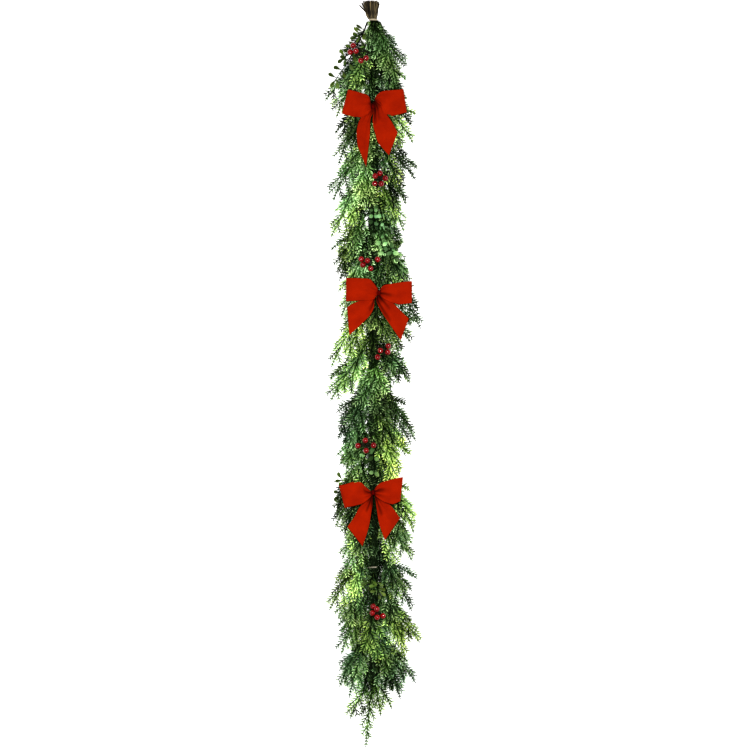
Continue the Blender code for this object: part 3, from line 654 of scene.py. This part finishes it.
def leafy(build, rib, draw, style, tone, roll, slim):
    """A stem with leaves in opposite pairs, and one at its end."""
    vary = draw.uniform
    long, wide = style["leaf"]
    first = style["bare"] * rib.length
    room = rib.length - long - first
    pairs = max(2, int(room / style["pitch"]))
    tilt, stray = style["tilt"], style["stray"]
    for i in range(pairs + 1):
        for hand in (-1, 1) if i < pairs else (-0.9, 0, 0.9):
            turn = math.radians(style["sweep"][hand < 0] * vary(0.75, 1.2)) * hand
            lean = unit(np.array((math.cos(turn), math.sin(turn), vary(-0.25, 0.35))))
            size = vary(*style["sizes"])
            up = (vary(-tilt, tilt), vary(-1.5 * tilt, 1.5 * tilt), 1)
            u = first + room * i / pairs
            base = np.array((u + vary(-stray, stray), 0.0, 0.0))
            points, faces = leaf(style["stops"], base, lean, up, long * size, wide * size,
                                 style["fold"], vary(-0.1, 0.22))
            grown_and_shade = 0.25 + 0.35 * np.linspace(0, 1, len(points)) + 0.25 * u / rib.length
            build.add(clear_of_floor(rib.at(points)[None]), faces, grown_and_shade,
                      tone + vary(-0.6, 0.6) * tilt)
    rachis(build, rib, style["rachis"], tone - 0.3)


# tip: how much paler the needle tips are, partly painted highlight.
NEEDLED = dict(
    make=comb, pitch=26, reach=10, sweep=40, step=7.2, needle=14.5, stem=2.3, fan=44, rachis=1.4,
    bare=0.14, tip=0.24,
)
STYLES = {
    GREEN: dict(NEEDLED, share=0.27, sweep=42, width=2.7, fan=40, edge=0.32),
    LIME: dict(NEEDLED, share=0.26, width=2.8, edge=0.20, tip=0.30),
    JUNIPER: dict(NEEDLED, pitch=28, share=0.25, reach=12, needle=15, width=2.5, rachis=1.5,
                  edge=0.22),
    "brush": dict(NEEDLED, pitch=12, share=0.14, reach=5, sweep=30, step=5.2, needle=10, width=2,
                  stem=2, fan=26, rachis=1.6, bare=0, edge=0.1, tip=0.34),
    BOX: dict(
        make=leafy, pitch=22, sweep=(52, 94), leaf=(22.5, 9), fold=0.22, rachis=1.3, bare=0.34,
        sizes=(0.88, 1.14), tilt=0.3, stray=2,
        stops=((0, 0.15), (0.24, 0.20), (0.42, 0.50), (0.62, 0.88), (0.80, 1), (0.94, 0.66)),
    ),
    EUCALYPTUS: dict(
        make=leafy, pitch=19, sweep=(48, 72), leaf=(15.5, 11.5), fold=0.14, rachis=1.2, bare=0.12,
        sizes=(0.60, 1.12), tilt=0.7, stray=6,
        stops=((0, 0.10), (0.12, 0.16), (0.26, 0.72), (0.46, 1), (0.70, 0.94), (0.90, 0.52)),
    ),
}


def frond(build, kind, root, tip, height, draw, tone, roll=0, bow=0, slim=1):
    """One frond from a root at (x, y) to a tip at (x, down)."""
    rib = Rib(root, (tip[0], -tip[1]), height, bow)
    style = STYLES[kind]
    style["make"](build, rib, draw, style, tone, roll, slim)


def stub(build, x, y, z):
    points = [(x * 0.8, y + 2, z), (x, y - 3, z), (x, y - 9, z)]
    build.add(*tube(points, (1.2, 2.6, 2), 7), 0.25, 0.25)


def seat(degrees, stand_off):
    """A place round the spine, this far off its surface, as (x, z)."""
    reach = SPINE_RADIUS + 0.3 + stand_off
    angle = math.radians(degrees)
    return reach * math.sin(angle), SPINE_HEIGHT + reach * math.cos(angle)


def parted_height(place, lift):
    """The height rule of one frond of a spray: its station's sheet, and its own lift."""
    def height(x, y, along):
        raised = sheet_height(place, x, y) + lift * np.minimum(1, along / FROND_PARTING)
        return np.minimum(raised, CEILING + (raised - CEILING) * 0.1)
    return height


TONES = {
    "spray_front_1": (0.02, 0.45, 0.5), "spray_front_3": 0.3, "spray_front_5": 0.3,
    "spray_front_6": 0.26, "spray_front_7": 0.4, "spray_right_06": 0.4, "spray_left_01": 0.24,
    "spray_left_12": 0.25, "spray_left_16": 0.85, "spray_end": 0.38,
}
TIP_STYLES = {"spray_left_12": (BOX, BOX, JUNIPER)}
STRAIGHT = (0,) * 4
ROOT_OFF = 3.8


def fine_spray(node, kind, degrees, place, tips, seed, root_place=None, slim=(1,) * 4,
               bow=STRAIGHT):
    draw = random.Random(seed)
    build = Builder()
    x, z = seat(degrees, ROOT_OFF)
    fall = (z - SPINE_HEIGHT - 1) / RISE
    if root_place is None:
        root_place = place + fall
    else:
        place = root_place - fall
    stub(build, x, -root_place, z)
    middle = (len(tips) - 1) / 2
    step = FROND_STEP if len(tips) < 4 else CROWDED_STEP
    for i, tip in enumerate(tips):
        height = parted_height(place, (i - middle) * step)
        own = TONES.get(node, draw.uniform(0.45, 0.8))
        if isinstance(own, tuple):
            own = own[i]
        form = TIP_STYLES[node][i] if node in TIP_STYLES else kind
        frond(build, form, (x, -root_place), tip, height, draw, own, bow=bow[i], slim=slim[i])
    build.finish("fine_" + node, kind, node=node)


def fine_back(node, kind, root_place, tips, seed):
    draw = random.Random(seed)
    build = Builder()
    x, z = seat(180, ROOT_OFF)
    stub(build, x, -root_place, z)

    def height(x_at, y_at, along):
        return np.maximum(2.6, z - along * BACK_FALL)

    for tip in tips:
        frond(build, kind, (x, -root_place), tip, height, draw, 0.4)
    for part in build.parts:
        part[0][:, 2] = np.maximum(part[0][:, 2], FLOOR_GAP)
    build.finish("fine_" + node, kind, node=node)


# Each side's name, its sprays, the seed of the first one, and how its fronds arch at the neck.
SIDES = {
    -1: ("left", LEFT_SPRAYS, 100, (0.45, 0.30, 0.20)),
    1: ("right", RIGHT_SPRAYS, 140, (-0.25, -0.25)),
}


def hand_sprays():
    for side, (hand, table, seed, arcs) in SIDES.items():
        for i, (kind, tips) in enumerate(table):
            placed = [(side * x, down) for x, down in tips]
            fine_spray(f"spray_{hand}_{i + 1:02d}", kind, side * 88, station(i), placed, seed + i,
                       bow=STRAIGHT if i else arcs)
    for i, (kind, degrees, index, tips) in enumerate(FRONT_SPRAYS):
        fine_spray(f"spray_front_{i + 1}", kind, degrees, station(index), tips, 180 + i)
    kind, tips = END_SPRAY
    fine_spray("spray_end", kind, 0, None, tips, 190, END_ROOT, END_SLIM)
    for i, (kind, root_place, tips) in enumerate(BACK_SPRAYS):
        fine_back(f"spray_back_{i + 1}", kind, root_place, tips, 195 + i)


# Sprays that no node holds: those of a station are FILL_SPRAYS a side, and some more or fewer.
FILL_SPRAYS = 6
FILL_EXTRA = {3: -1, 5: 1, 7: -2, 9: 2, 10: 2, 11: 3, 12: 1, 13: 1, 14: 3, 15: 4}
FILL_KINDS = (GREEN, LIME, JUNIPER, GREEN, JUNIPER, LIME, GREEN)


def outline(side, down):
    """How far the foliage reaches at this place, from the tips of the sprays above."""
    tips = sorted((d, x) for kind, spray in SIDES[side][1] for x, d in spray if x > 74)
    places = [40] + [d for d, x in tips] + [1716, 1745, 1828]
    reach = [18] + [x for d, x in tips] + [66, 40, 12]
    return float(np.interp(down, places, reach))


def sprig(builds, kind, x, place, tip, lift, draw, *form):
    """One spray whose root is at this place, for the piece of its kind."""
    build = builds.setdefault(kind, Builder())
    frond(build, kind, (x, -place), tip, parted_height(place, lift), draw, *form)


def finish_fill(name, builds):
    for kind, build in builds.items():
        build.finish(f"fill_{name}_{kind}", kind)


def side_fill(draw, side, index):
    """Sprays between two stations, on one side of the spine."""
    vary = draw.uniform
    hand, table = SIDES[side][:2]
    builds = {}
    sprays = FILL_SPRAYS + FILL_EXTRA.get(index, 0)
    for k in range(sprays):
        if index == 0 and k < (6 if side < 0 else 3):
            continue
        own = table[index][0]
        kind = own if k % 4 == 0 and own in FILL_KINDS else draw.choice(FILL_KINDS)
        if kind == LIME and (k % 3 == 2 or (side > 0 and index < 2)):
            kind = draw.choice((GREEN, JUNIPER))
        place = max(station(index + (k + 0.5) / sprays - 0.5), FIRST_STATION - 2)
        down = min(place + vary(52, 128), vary(1690, 1738))
        reach = outline(side, down)
        inner = k % 3 == 2
        x = vary(14, 0.55 * reach) if inner else reach * vary(0.46, 0.92)
        root_x = side * vary(4, 15)
        lift = vary(-9, 5)
        # Painted shade: the lower a spray lies, the darker its tone, on top of a random tone.
        tone = 0.54 + 0.045 * lift + vary(-0.15, 0.15)
        sprig(builds, kind, root_x, place, (side * x, down), lift, draw, tone,
              vary(-0.45, 0.45), vary(-0.08, 0.08))
    finish_fill(f"{hand}_{index + 1:02d}", builds)


# Short sprays close round the neck: each one's tip, as how far out and down, and its lift.
NECK_ROOT = 49.0
NECK_SPRAYS = (
    (-16, 112, 9), (12, 106, 10), (-2, 122, 12), (-14, 136, 5), (26, 134, 6), (6, 92, 13),
    (-8, 90, 13), (17, 124, 8), (-18, 94, 2), (9, 140, 9), (36, 152, 4), (20, 100, 2),
)

# Single sprays: each one's kind, its root and its tip as above, its lift and its tone.
HAND_FILL = (
    (LIME, (-15, 94), (-38, 212), 7, 0.46), (GREEN, (-14, 112), (-54, 222), 3, 0.55),
    (LIME, (-14, 128), (-46, 232), 5, 0.40), (JUNIPER, (-12, 68), (-74, 146), -5, 0.20),
    (JUNIPER, (-10, 98), (-80, 204), -7, 0.35), (GREEN, (12, 84), (50, 206), 5, 0.60),
    (JUNIPER, (-12, 560), (-84, 690), -2, 0.40), (GREEN, (-12, 600), (-58, 712), 4, 0.60),
    (GREEN, (12, 580), (88, 702), 2, 0.55), (JUNIPER, (12, 570), (64, 684), 5, 0.45),
    (JUNIPER, (-12, 1130), (-90, 1254), -2, 0.35), (JUNIPER, (-12, 1190), (-72, 1316), 0, 0.45),
    (GREEN, (-12, 1170), (-94, 1296), 3, 0.60), (JUNIPER, (12, 1150), (70, 1272), 0, 0.30),
    (LIME, (12, 1176), (100, 1310), 3, 0.55), (GREEN, (12, 1200), (82, 1334), 4, 0.55),
)
LATE_FILL = (
    (JUNIPER, (-8, 430), (-34, 546), 2, 0.22), (EUCALYPTUS, (3, 548), (58, 652), 19, 0.66),
    (EUCALYPTUS, (6, 560), (30, 640), 16, 0.50),
)


def at_neck(draw):
    build = Builder()
    for x, down, lift in NECK_SPRAYS:
        frond(build, "brush", (x * 0.28, -NECK_ROOT), (x, down),
              parted_height(NECK_ROOT - 20, lift), draw, draw.uniform(0.24, 0.46), x * 0.012)
    build.finish("fill_neck", GREEN)


def by_hand(table, draw, name):
    builds = {}
    for kind, (x, place), tip, lift, tone in table:
        sprig(builds, kind, x, place, tip, lift, draw, tone, tip[0] * 0.004)
    finish_fill(name, builds)


def over_spine(draw):
    """Short sprays along the middle, over and beside the spine, but none over its wire."""
    vary = draw.uniform
    for index in range(STATIONS):
        builds = {}
        for k in range(4):
            place = station(index + k / 4) + vary(-8, 8)
            down = place + vary(55, 105)
            if down > 1730 or index == 0 or (index > 13 and k % 2):
                continue
            if place < WIRE_PLACE < down:
                continue
            x = vary(-52, 52)
            kind = draw.choice((GREEN, JUNIPER, GREEN))
            sprig(builds, kind, vary(-9, 9), place, (x, down), vary(9, 15), draw,
                  vary(0.14, 0.48), vary(-0.5, 0.5))
        finish_fill(f"front_{index + 1:02d}", builds)


def fill():
    draw = random.Random(7)
    for index in range(STATIONS):
        for side in SIDES:
            side_fill(draw, side, index)
    at_neck(draw)
    by_hand(HAND_FILL, draw, "hand")
    over_spine(draw)
    by_hand(LATE_FILL, random.Random(11), "late")


def smooth_path(points, count):
    """Even places along a rounded path through the points, which stays close to its chords."""
    points = np.asarray(points, float)
    ends = np.concatenate([2 * points[:1] - points[1:2], points, 2 * points[-1:] - points[-2:-1]])
    t = np.linspace(0, 1, 12, endpoint=False)[:, None]
    line = []
    for i in range(1, len(ends) - 2):
        p0, p1, p2, p3 = ends[i - 1:i + 3]
        size = np.linalg.norm(p2 - p1)
        leave, arrive = unit(p2 - p0) * size, unit(p3 - p1) * size
        line.append(p1 * (2 * t ** 3 - 3 * t ** 2 + 1) + leave * (t ** 3 - 2 * t ** 2 + t)
                    + p2 * (3 * t ** 2 - 2 * t ** 3) + arrive * (t ** 3 - t ** 2))
    line = np.concatenate(line + [points[-1:]])
    steps = np.concatenate(([0], np.cumsum(np.linalg.norm(np.diff(line, axis=0), axis=1))))
    even = np.linspace(0, steps[-1], count)
    return np.stack([np.interp(even, steps, line[:, k]) for k in range(line.shape[1])], -1)


def part_way(edge, share):
    """The place at this share of the way along an edge."""
    place = min(max(share, 0), 1) * (len(edge) - 1)
    low = min(int(place), len(edge) - 2)
    part = place - low
    return edge[low] * (1 - part) + edge[low + 1] * part


def creased(creases, t, share):
    """How deep the creases are across the ribbon, at this share of the way from the knot."""
    depth = np.zeros(len(t))
    for place, reach, strength in creases:
        fade = max(0, 1 - share / reach) ** 0.4
        depth = np.maximum(depth, strength * fade * np.exp(-((t - place) / CREASE_WIDTH) ** 2))
    return depth


ACROSS = 30
CREASE_WIDTH = 0.115
CREASE_DEPTH = 6.0
WAVE_HEIGHT = 3.0
BEHIND = 0.35
RIBBON_THICK = 1.0

# A loop's way out along its front, round its end and back behind: its share of the reach, and
# its height over the knot. Then the same for a tail, which falls a little.
LOOP_RUN = smooth_path((
    (0, -5), (0.015, 0), (0.05, 3.4), (0.12, 7), (0.22, 10), (0.36, 12.4),
    (0.52, 13.2), (0.68, 13.2), (0.82, 12.4), (0.92, 10.6), (0.975, 7.6), (1, 3.6),
    (0.985, -0.4), (0.93, -2.8), (0.80, -3.8), (0.55, -4.2), (0.30, -4.2), (0.12, -4.6),
    (0.03, -5.6),
), 64)
TAIL_RUN = np.stack([np.linspace(0, 1, 44), np.linspace(0, -3, 44)], -1)


def loop_form(t, share):
    """How far a loop crowns across its width, and its painted shade, darkest by the knot."""
    return 1.6 * np.sin(math.pi * t) * min(1, share * 2), 0.35 + share * 9


def tail_form(t, share):
    # A tail's painted shade is darkest by the knot, under the loops.
    return 2.2 * (2 * t - 1) ** 2 * share, 0.12 + (share / 0.26) ** 1.5


def strip(part, draw, run, form, waves, fading):
    """The points of one loop or tail, and the painted shade of each, as a share of full light."""
    first, second, creases = part
    first, second = [smooth_path([(x, -down) for x, down in edge], 40) for edge in (first, second)]
    turn = int(np.argmax(run[:, 0]))
    phase = draw.uniform(0, 1)
    t = np.linspace(0, 1, ACROSS)
    rows, lit = [], []
    for i, (share, height) in enumerate(run):
        flat = part_way(first, share) * (1 - t[:, None]) + part_way(second, share) * t[:, None]
        fade = WAVE_HEIGHT * math.exp(-share / fading) * (1 - math.exp(-share / 0.05))
        bulge, light = form(t, share)
        relief = np.cos(math.tau * (waves * t + phase)) * fade + bulge
        depth = creased(creases, t, share)
        if i > turn:
            relief, depth = relief * BEHIND, depth * 0
        z = height + relief - CREASE_DEPTH * depth
        rows.append(np.concatenate([flat, z[:, None]], -1))
        # Painted shade: darker along each crease and by the knot.
        lit.append((1 - 0.85 * depth) * min(1, light))
    return np.array(rows), np.array(lit)


def thicken(build, grid, lit, flip):
    """A closed strip from a grid of points."""
    rows, across = grid.shape[:2]
    normal = unit(np.cross(np.gradient(grid, axis=0), np.gradient(grid, axis=1)))
    if flip:
        normal = -normal
    half = normal * RIBBON_THICK / 2
    points = np.concatenate([(grid + half).reshape(-1, 3), (grid - half).reshape(-1, 3)])
    total = rows * across
    index = np.arange(total).reshape(rows, across)
    rim = np.concatenate([index[:, 0], index[-1, 1:], index[-2::-1, -1], index[0, -2:0:-1]])
    ahead = np.roll(rim, -1)
    cells = band_faces(rows, across, closed=False)
    faces = np.concatenate([
        cells, cells[:, ::-1] + total, np.stack([rim, ahead, ahead + total], -1),
        np.stack([rim, ahead + total, rim + total], -1),
    ])
    if flip:
        faces = faces[:, ::-1]
    # The strip's painted shade goes into its growth values, on both faces.
    build.add(points, faces, np.tile(lit.ravel(), 2))


def make_bow(number, knot, loops, tails):
    draw = random.Random(40 + number)
    x, below = knot
    knot = np.array((x, -below, KNOT_HEIGHT))
    build = Builder()
    for k, (loop, tail) in enumerate(zip(loops, tails)):
        grid, lit = strip(loop, draw, LOOP_RUN, loop_form, 3, 0.26)
        thicken(build, grid + knot, lit, k == 1)
        grid, lit = strip(tail, draw, TAIL_RUN, tail_form, 2.2, 0.36)
        thicken(build, grid + knot - UP * 2.4 * (k + 1), lit, k == 1)
    made = build.finish(f"ribbon_{number}", "ribbon", node=f"bow_{number}_ribbon", smooth=True)
    # The band at the knot, in the dark red that paints the fold's shade.
    band = Builder()
    middle = np.linspace(-3.6, 3.6, 7)
    radii = 5.4 + 0.8 * np.cos(middle / 3.6 * math.pi / 2)
    band.add(*tube(middle[:, None] * (1, 0, 0) + knot, radii, 16))
    low = knot - UP * 5
    foot = np.array((max(-4.0, min(4.0, x * 0.4)), -below, SPINE_HEIGHT + SPINE_RADIUS))
    band.add(*tube([low, (low + foot) / 2, foot], 1.2, 8))
    band.finish(f"bow_band_{number}", "band", node=f"bow_{number}_tie", smooth=True)


# Dark bracts round each hub: partly real leaves, partly painted shade in the gaps between the
# berries.
BRACTS = 16


def make_pick(number, place, degrees, berries):
    draw = random.Random(60 + number)
    vary = draw.uniform
    build = Builder()
    foot_x, foot_z = seat(degrees, 0.1)
    out_x, out_z = seat(degrees, 7)
    knee = np.array((out_x, -place, out_z))
    hub = np.array((out_x, -place - 6.0, HUB_HEIGHT))
    stem = smooth_path([(foot_x, -place, foot_z), knee, hub], 10)
    build.add(*tube(stem, np.linspace(1.7, 1.3, 10), 7), slot=2)
    for i, (x, below, height) in enumerate(berries):
        centre = np.array((x, -below, BERRY_HEIGHT + height))
        fork = hub + (knee - hub) * (0.06 + 0.11 * i)
        bend = (fork + centre) / 2 + UP * 3
        build.add(*tube(smooth_path([fork, bend, centre], 7), 0.8, 6), slot=2)
        build.add(*ball(centre, BERRY_RADIUS, 18, 12))
        way = unit(np.array((vary(-0.8, 0.8), vary(-0.9, 0.2), 0.9)))
        build.add(*ball(centre + way * (BERRY_RADIUS - 0.3), 1.1, 8, 5), slot=1)
    # The bracts sit under the berries, as painted shade in the gaps between them.
    middle = np.mean([(x, -below, BERRY_HEIGHT - 8) for x, below, height in berries], axis=0)
    for i in range(BRACTS):
        turn = math.tau * i / BRACTS + vary(-0.2, 0.2)
        out = np.array([(math.cos(turn), math.sin(turn), vary(-0.1, 0.3))])
        blade = needles(middle + out * 1.5, unit(out), UP[None], vary(7, 14), 3.2, 0.7)
        build.add(blade, NEEDLE_FACES, slot=2)
    build.finish(f"berries_{number}", "berry", "calyx", "stalk", node=f"berry_pick_{number}",
                 smooth=True)


TWIGS = 52
LONGEST_TWIG = 4
STRAY_TWIGS = (
    ((-6, -41, 29), (-20, -26, 33), (-35, -12, 38)),
    ((-7, -38, 27), (-20, -22, 31), (-29, -5, 35)),
    ((4, -38, 27), (10, -20, 30), (14, -7, 33)),
)


def make_twigs():
    draw = random.Random(11)
    vary = draw.uniform
    build = Builder()
    for i in range(TWIGS):
        angle = 2.4 * i + vary(-0.1, 0.1)
        ring = draw.choice((1.6, 3.2, 4.6, 5.8, 5.8))
        out = np.array((math.cos(angle), 0.0, math.sin(angle)))
        spread = ring * vary(1.6, 3.4)
        top = 0
        if i != LONGEST_TWIG:
            top = -vary(0, 7) * vary(0, 1.2)
        radius = vary(1, 1.9)
        stops = ((0, -52, ring), (-1.2, -NECK_PLACE, ring),
                 (-4, 6 - NECK_PLACE, ring * 1.75),
                 (-5.4, 22 - NECK_PLACE, ring * 0.6 + spread * 0.66), (-6.4, top, spread))
        line = smooth_path([out * reach + (x, y, SPINE_HEIGHT) for x, y, reach in stops], 14)
        line[:, 0] += np.sin(np.linspace(0, 6, 14) + i) * 0.8
        line[-1, 1] = top
        tone = draw.choice((0, 0.15, 0.4, 0.7, 1))
        build.add(*tube(line, np.linspace(radius * 1.1, radius, 14), 7), tone, tone)
        ahead = unit(line[-1] - line[-2])
        cut = [line[-1] - ahead * 0.6, line[-1] + ahead * 0.12]
        build.add(*tube(cut, radius * 0.86, 7), slot=1)
    for stray in STRAY_TWIGS:
        build.add(*tube(smooth_path(stray, 10), np.linspace(2.3, 1.5, 10), 6), 0.12, 0.12)
    build.finish("twigs", "twigs", "cut_wood", node="twig_bundle", smooth=True)


STRAND_RADIUS = 0.8


def coil(turns, radius, pitch, centre, tilt=0, steps=28):
    """A wound strand, as a tube along a helix whose axis is y."""
    angle = math.tau * np.arange(int(turns * steps) + 1) / steps
    y = pitch * (angle / math.tau - turns / 2) + tilt * np.cos(angle)
    line = np.stack([radius * np.cos(angle), y, radius * np.sin(angle)], -1) + centre
    return tube(line, STRAND_RADIUS, 6)


def make_tie():
    build = Builder()
    for k in range(2):
        build.add(*coil(2.6, 9.3 + 0.7 * k, 1.5 - 0.3 * k, (-1.2, -NECK_PLACE, SPINE_HEIGHT)))
    build.finish("neck_twine", "twine", node="neck_tie", smooth=True)
    loop = Builder()
    loop.add(*coil(1.5, 13.4, 1.7, (0, -WIRE_PLACE, SPINE_HEIGHT), 1.2, 32))
    loop.finish("wire_loop", "wire", node="tie_wire", smooth=True)


TUFTS = 2400
STRANDS = 12


def make_spine():
    """The stem's wrap in short dark tufts, and the pale strands that fan out at its end."""
    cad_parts["spine"].material_slots[0].material = MATERIALS["spine"]
    draw = np.random.default_rng(5)
    for part in range(4):
        down = SPINE_TOP + 6 + (SPINE_END - SPINE_TOP - 16) * (part + draw.random(TUFTS)) / 4
        angle = draw.uniform(-math.pi, math.pi, TUFTS)
        out = np.stack([np.sin(angle), np.zeros(TUFTS), np.cos(angle)], -1)
        base = out * SPINE_RADIUS * 0.92 + UP * SPINE_HEIGHT
        base[:, 1] = -down
        way = out * draw.uniform(0.25, 0.9, (TUFTS, 1))
        way[:, 1] -= draw.uniform(0.5, 1.1, TUFTS)
        way += draw.normal(0, 0.22, (TUFTS, 3))
        blades = needles(base, unit(way), unit(out + draw.normal(0, 0.3, (TUFTS, 3))),
                         draw.uniform(6, 13, TUFTS), 1.3, 0.4)
        grown_and_shade = np.tile(np.array((0.0, 0.06, 0.06, 0.06, 0.16, 0.16, 0.16, 0.35)), (TUFTS, 1))
        grown_and_shade += draw.uniform(-0.05, 0.3, (TUFTS, 1))
        tone = np.repeat(draw.uniform(0, 0.5, TUFTS), NEEDLE_POINTS)
        build = Builder()
        build.add(blades, needle_faces(TUFTS), grown_and_shade.ravel(), tone)
        build.finish(f"spine_wrap_{part + 1}", JUNIPER)
    strands = Builder()
    for turn in np.linspace(-1, 1, STRANDS):
        line = smooth_path([
            (turn * 2, -SPINE_END + 18, SPINE_HEIGHT + 2),
            (turn * 5, -SPINE_END + 2, SPINE_HEIGHT + 3),
            (turn * 13, -SPINE_END - 20 + abs(turn) * 9, SPINE_HEIGHT - 2),
        ], 8)
        strands.add(*tube(line, 0.55, 5))
    strands.finish("end_strands", "filament", slot="twine", smooth=True)


# Lamps: where each one is, its two sizes, in metres, and its power. Each points at the origin.
LAMPS = {
    "key": ((-0.14, 0.12, 4.1), (0.36, 0.9), 142),
    "fill": ((1.3, -0.3, 2.6), (0.6, 1.8), 14),
}
FLOOR_REACH = 12.0
FLOOR_DROP = 0.0006


def make_stage():
    scene = bpy.context.scene
    floor = bpy.data.meshes.new("floor")
    corners = ((-1, -1, 0), (1, -1, 0), (1, 1, 0), (-1, 1, 0))
    floor.from_pydata([Vector(corner) * FLOOR_REACH for corner in corners], [], [(0, 1, 2, 3)])
    ground = bpy.data.objects.new("floor", floor)
    ground.location.z = cad_low.z - FLOOR_DROP
    scene.collection.objects.link(ground)
    made = Nodes("pale_floor")
    colour = made.ramp(made.noise(3, 2), (0, 0.90, 0.90, 0.90), (1, 0.93, 0.93, 0.93))
    made.fill(made.shader, {
        "Base Color": colour, "Roughness": 0.95, "Specular IOR Level": 0.1,
        "Emission Color": (1, 1, 1, 1), "Emission Strength": 0.4,
    })
    floor.materials.append(made.material)
    scene.world = bpy.data.worlds.new("studio")
    scene.world.use_nodes = True
    sky = scene.world.node_tree.nodes["Background"]
    made.fill(sky, {"Color": (1, 1, 1, 1), "Strength": 0.17})
    for name, (place, size, power) in LAMPS.items():
        lamp = bpy.data.lights.new(name, "AREA")
        lamp.shape = "RECTANGLE"
        lamp.size, lamp.size_y = size
        lamp.energy = power
        light = bpy.data.objects.new(name, lamp)
        light.location = place
        light.rotation_euler = (-Vector(place)).to_track_quat("-Z", "Y").to_euler()
        scene.collection.objects.link(light)
    scene.view_settings.view_transform = "Standard"
    scene.view_settings.look = "High Contrast"


# The photograph is 750 pixels square and one pixel covers 2.456 mm of the garland, at a plane
# 50 mm above the floor.
PHOTO_SIZE = 750.0
PIXEL = 2.456
SPINE_COLUMN = 373.5
FOCUS_HEIGHT = 0.05


def make_camera():
    lens = bpy.data.cameras.new("camera")
    camera = bpy.data.objects.new("camera", lens)
    lens.lens = 170
    lens.sensor_width = 36
    lens.clip_end = 50
    distance = PHOTO_SIZE * PIXEL * MM * lens.lens / lens.sensor_width
    middle_x = OFFSET[0] + (PHOTO_SIZE / 2 - SPINE_COLUMN) * PIXEL * MM
    middle_y = OFFSET[1] - PHOTO_SIZE / 2 * PIXEL * MM
    camera.location = (middle_x, middle_y, distance + FOCUS_HEIGHT)
    bpy.context.scene.collection.objects.link(camera)
    bpy.context.scene.camera = camera


make_camera()
make_stage()
hand_sprays()
fill()
for number, bow in enumerate(BOWS, start=1):
    make_bow(number, *bow)
for number, pick in enumerate(BERRY_PICKS, start=1):
    make_pick(number, *pick)
make_twigs()
make_tie()
make_spine()
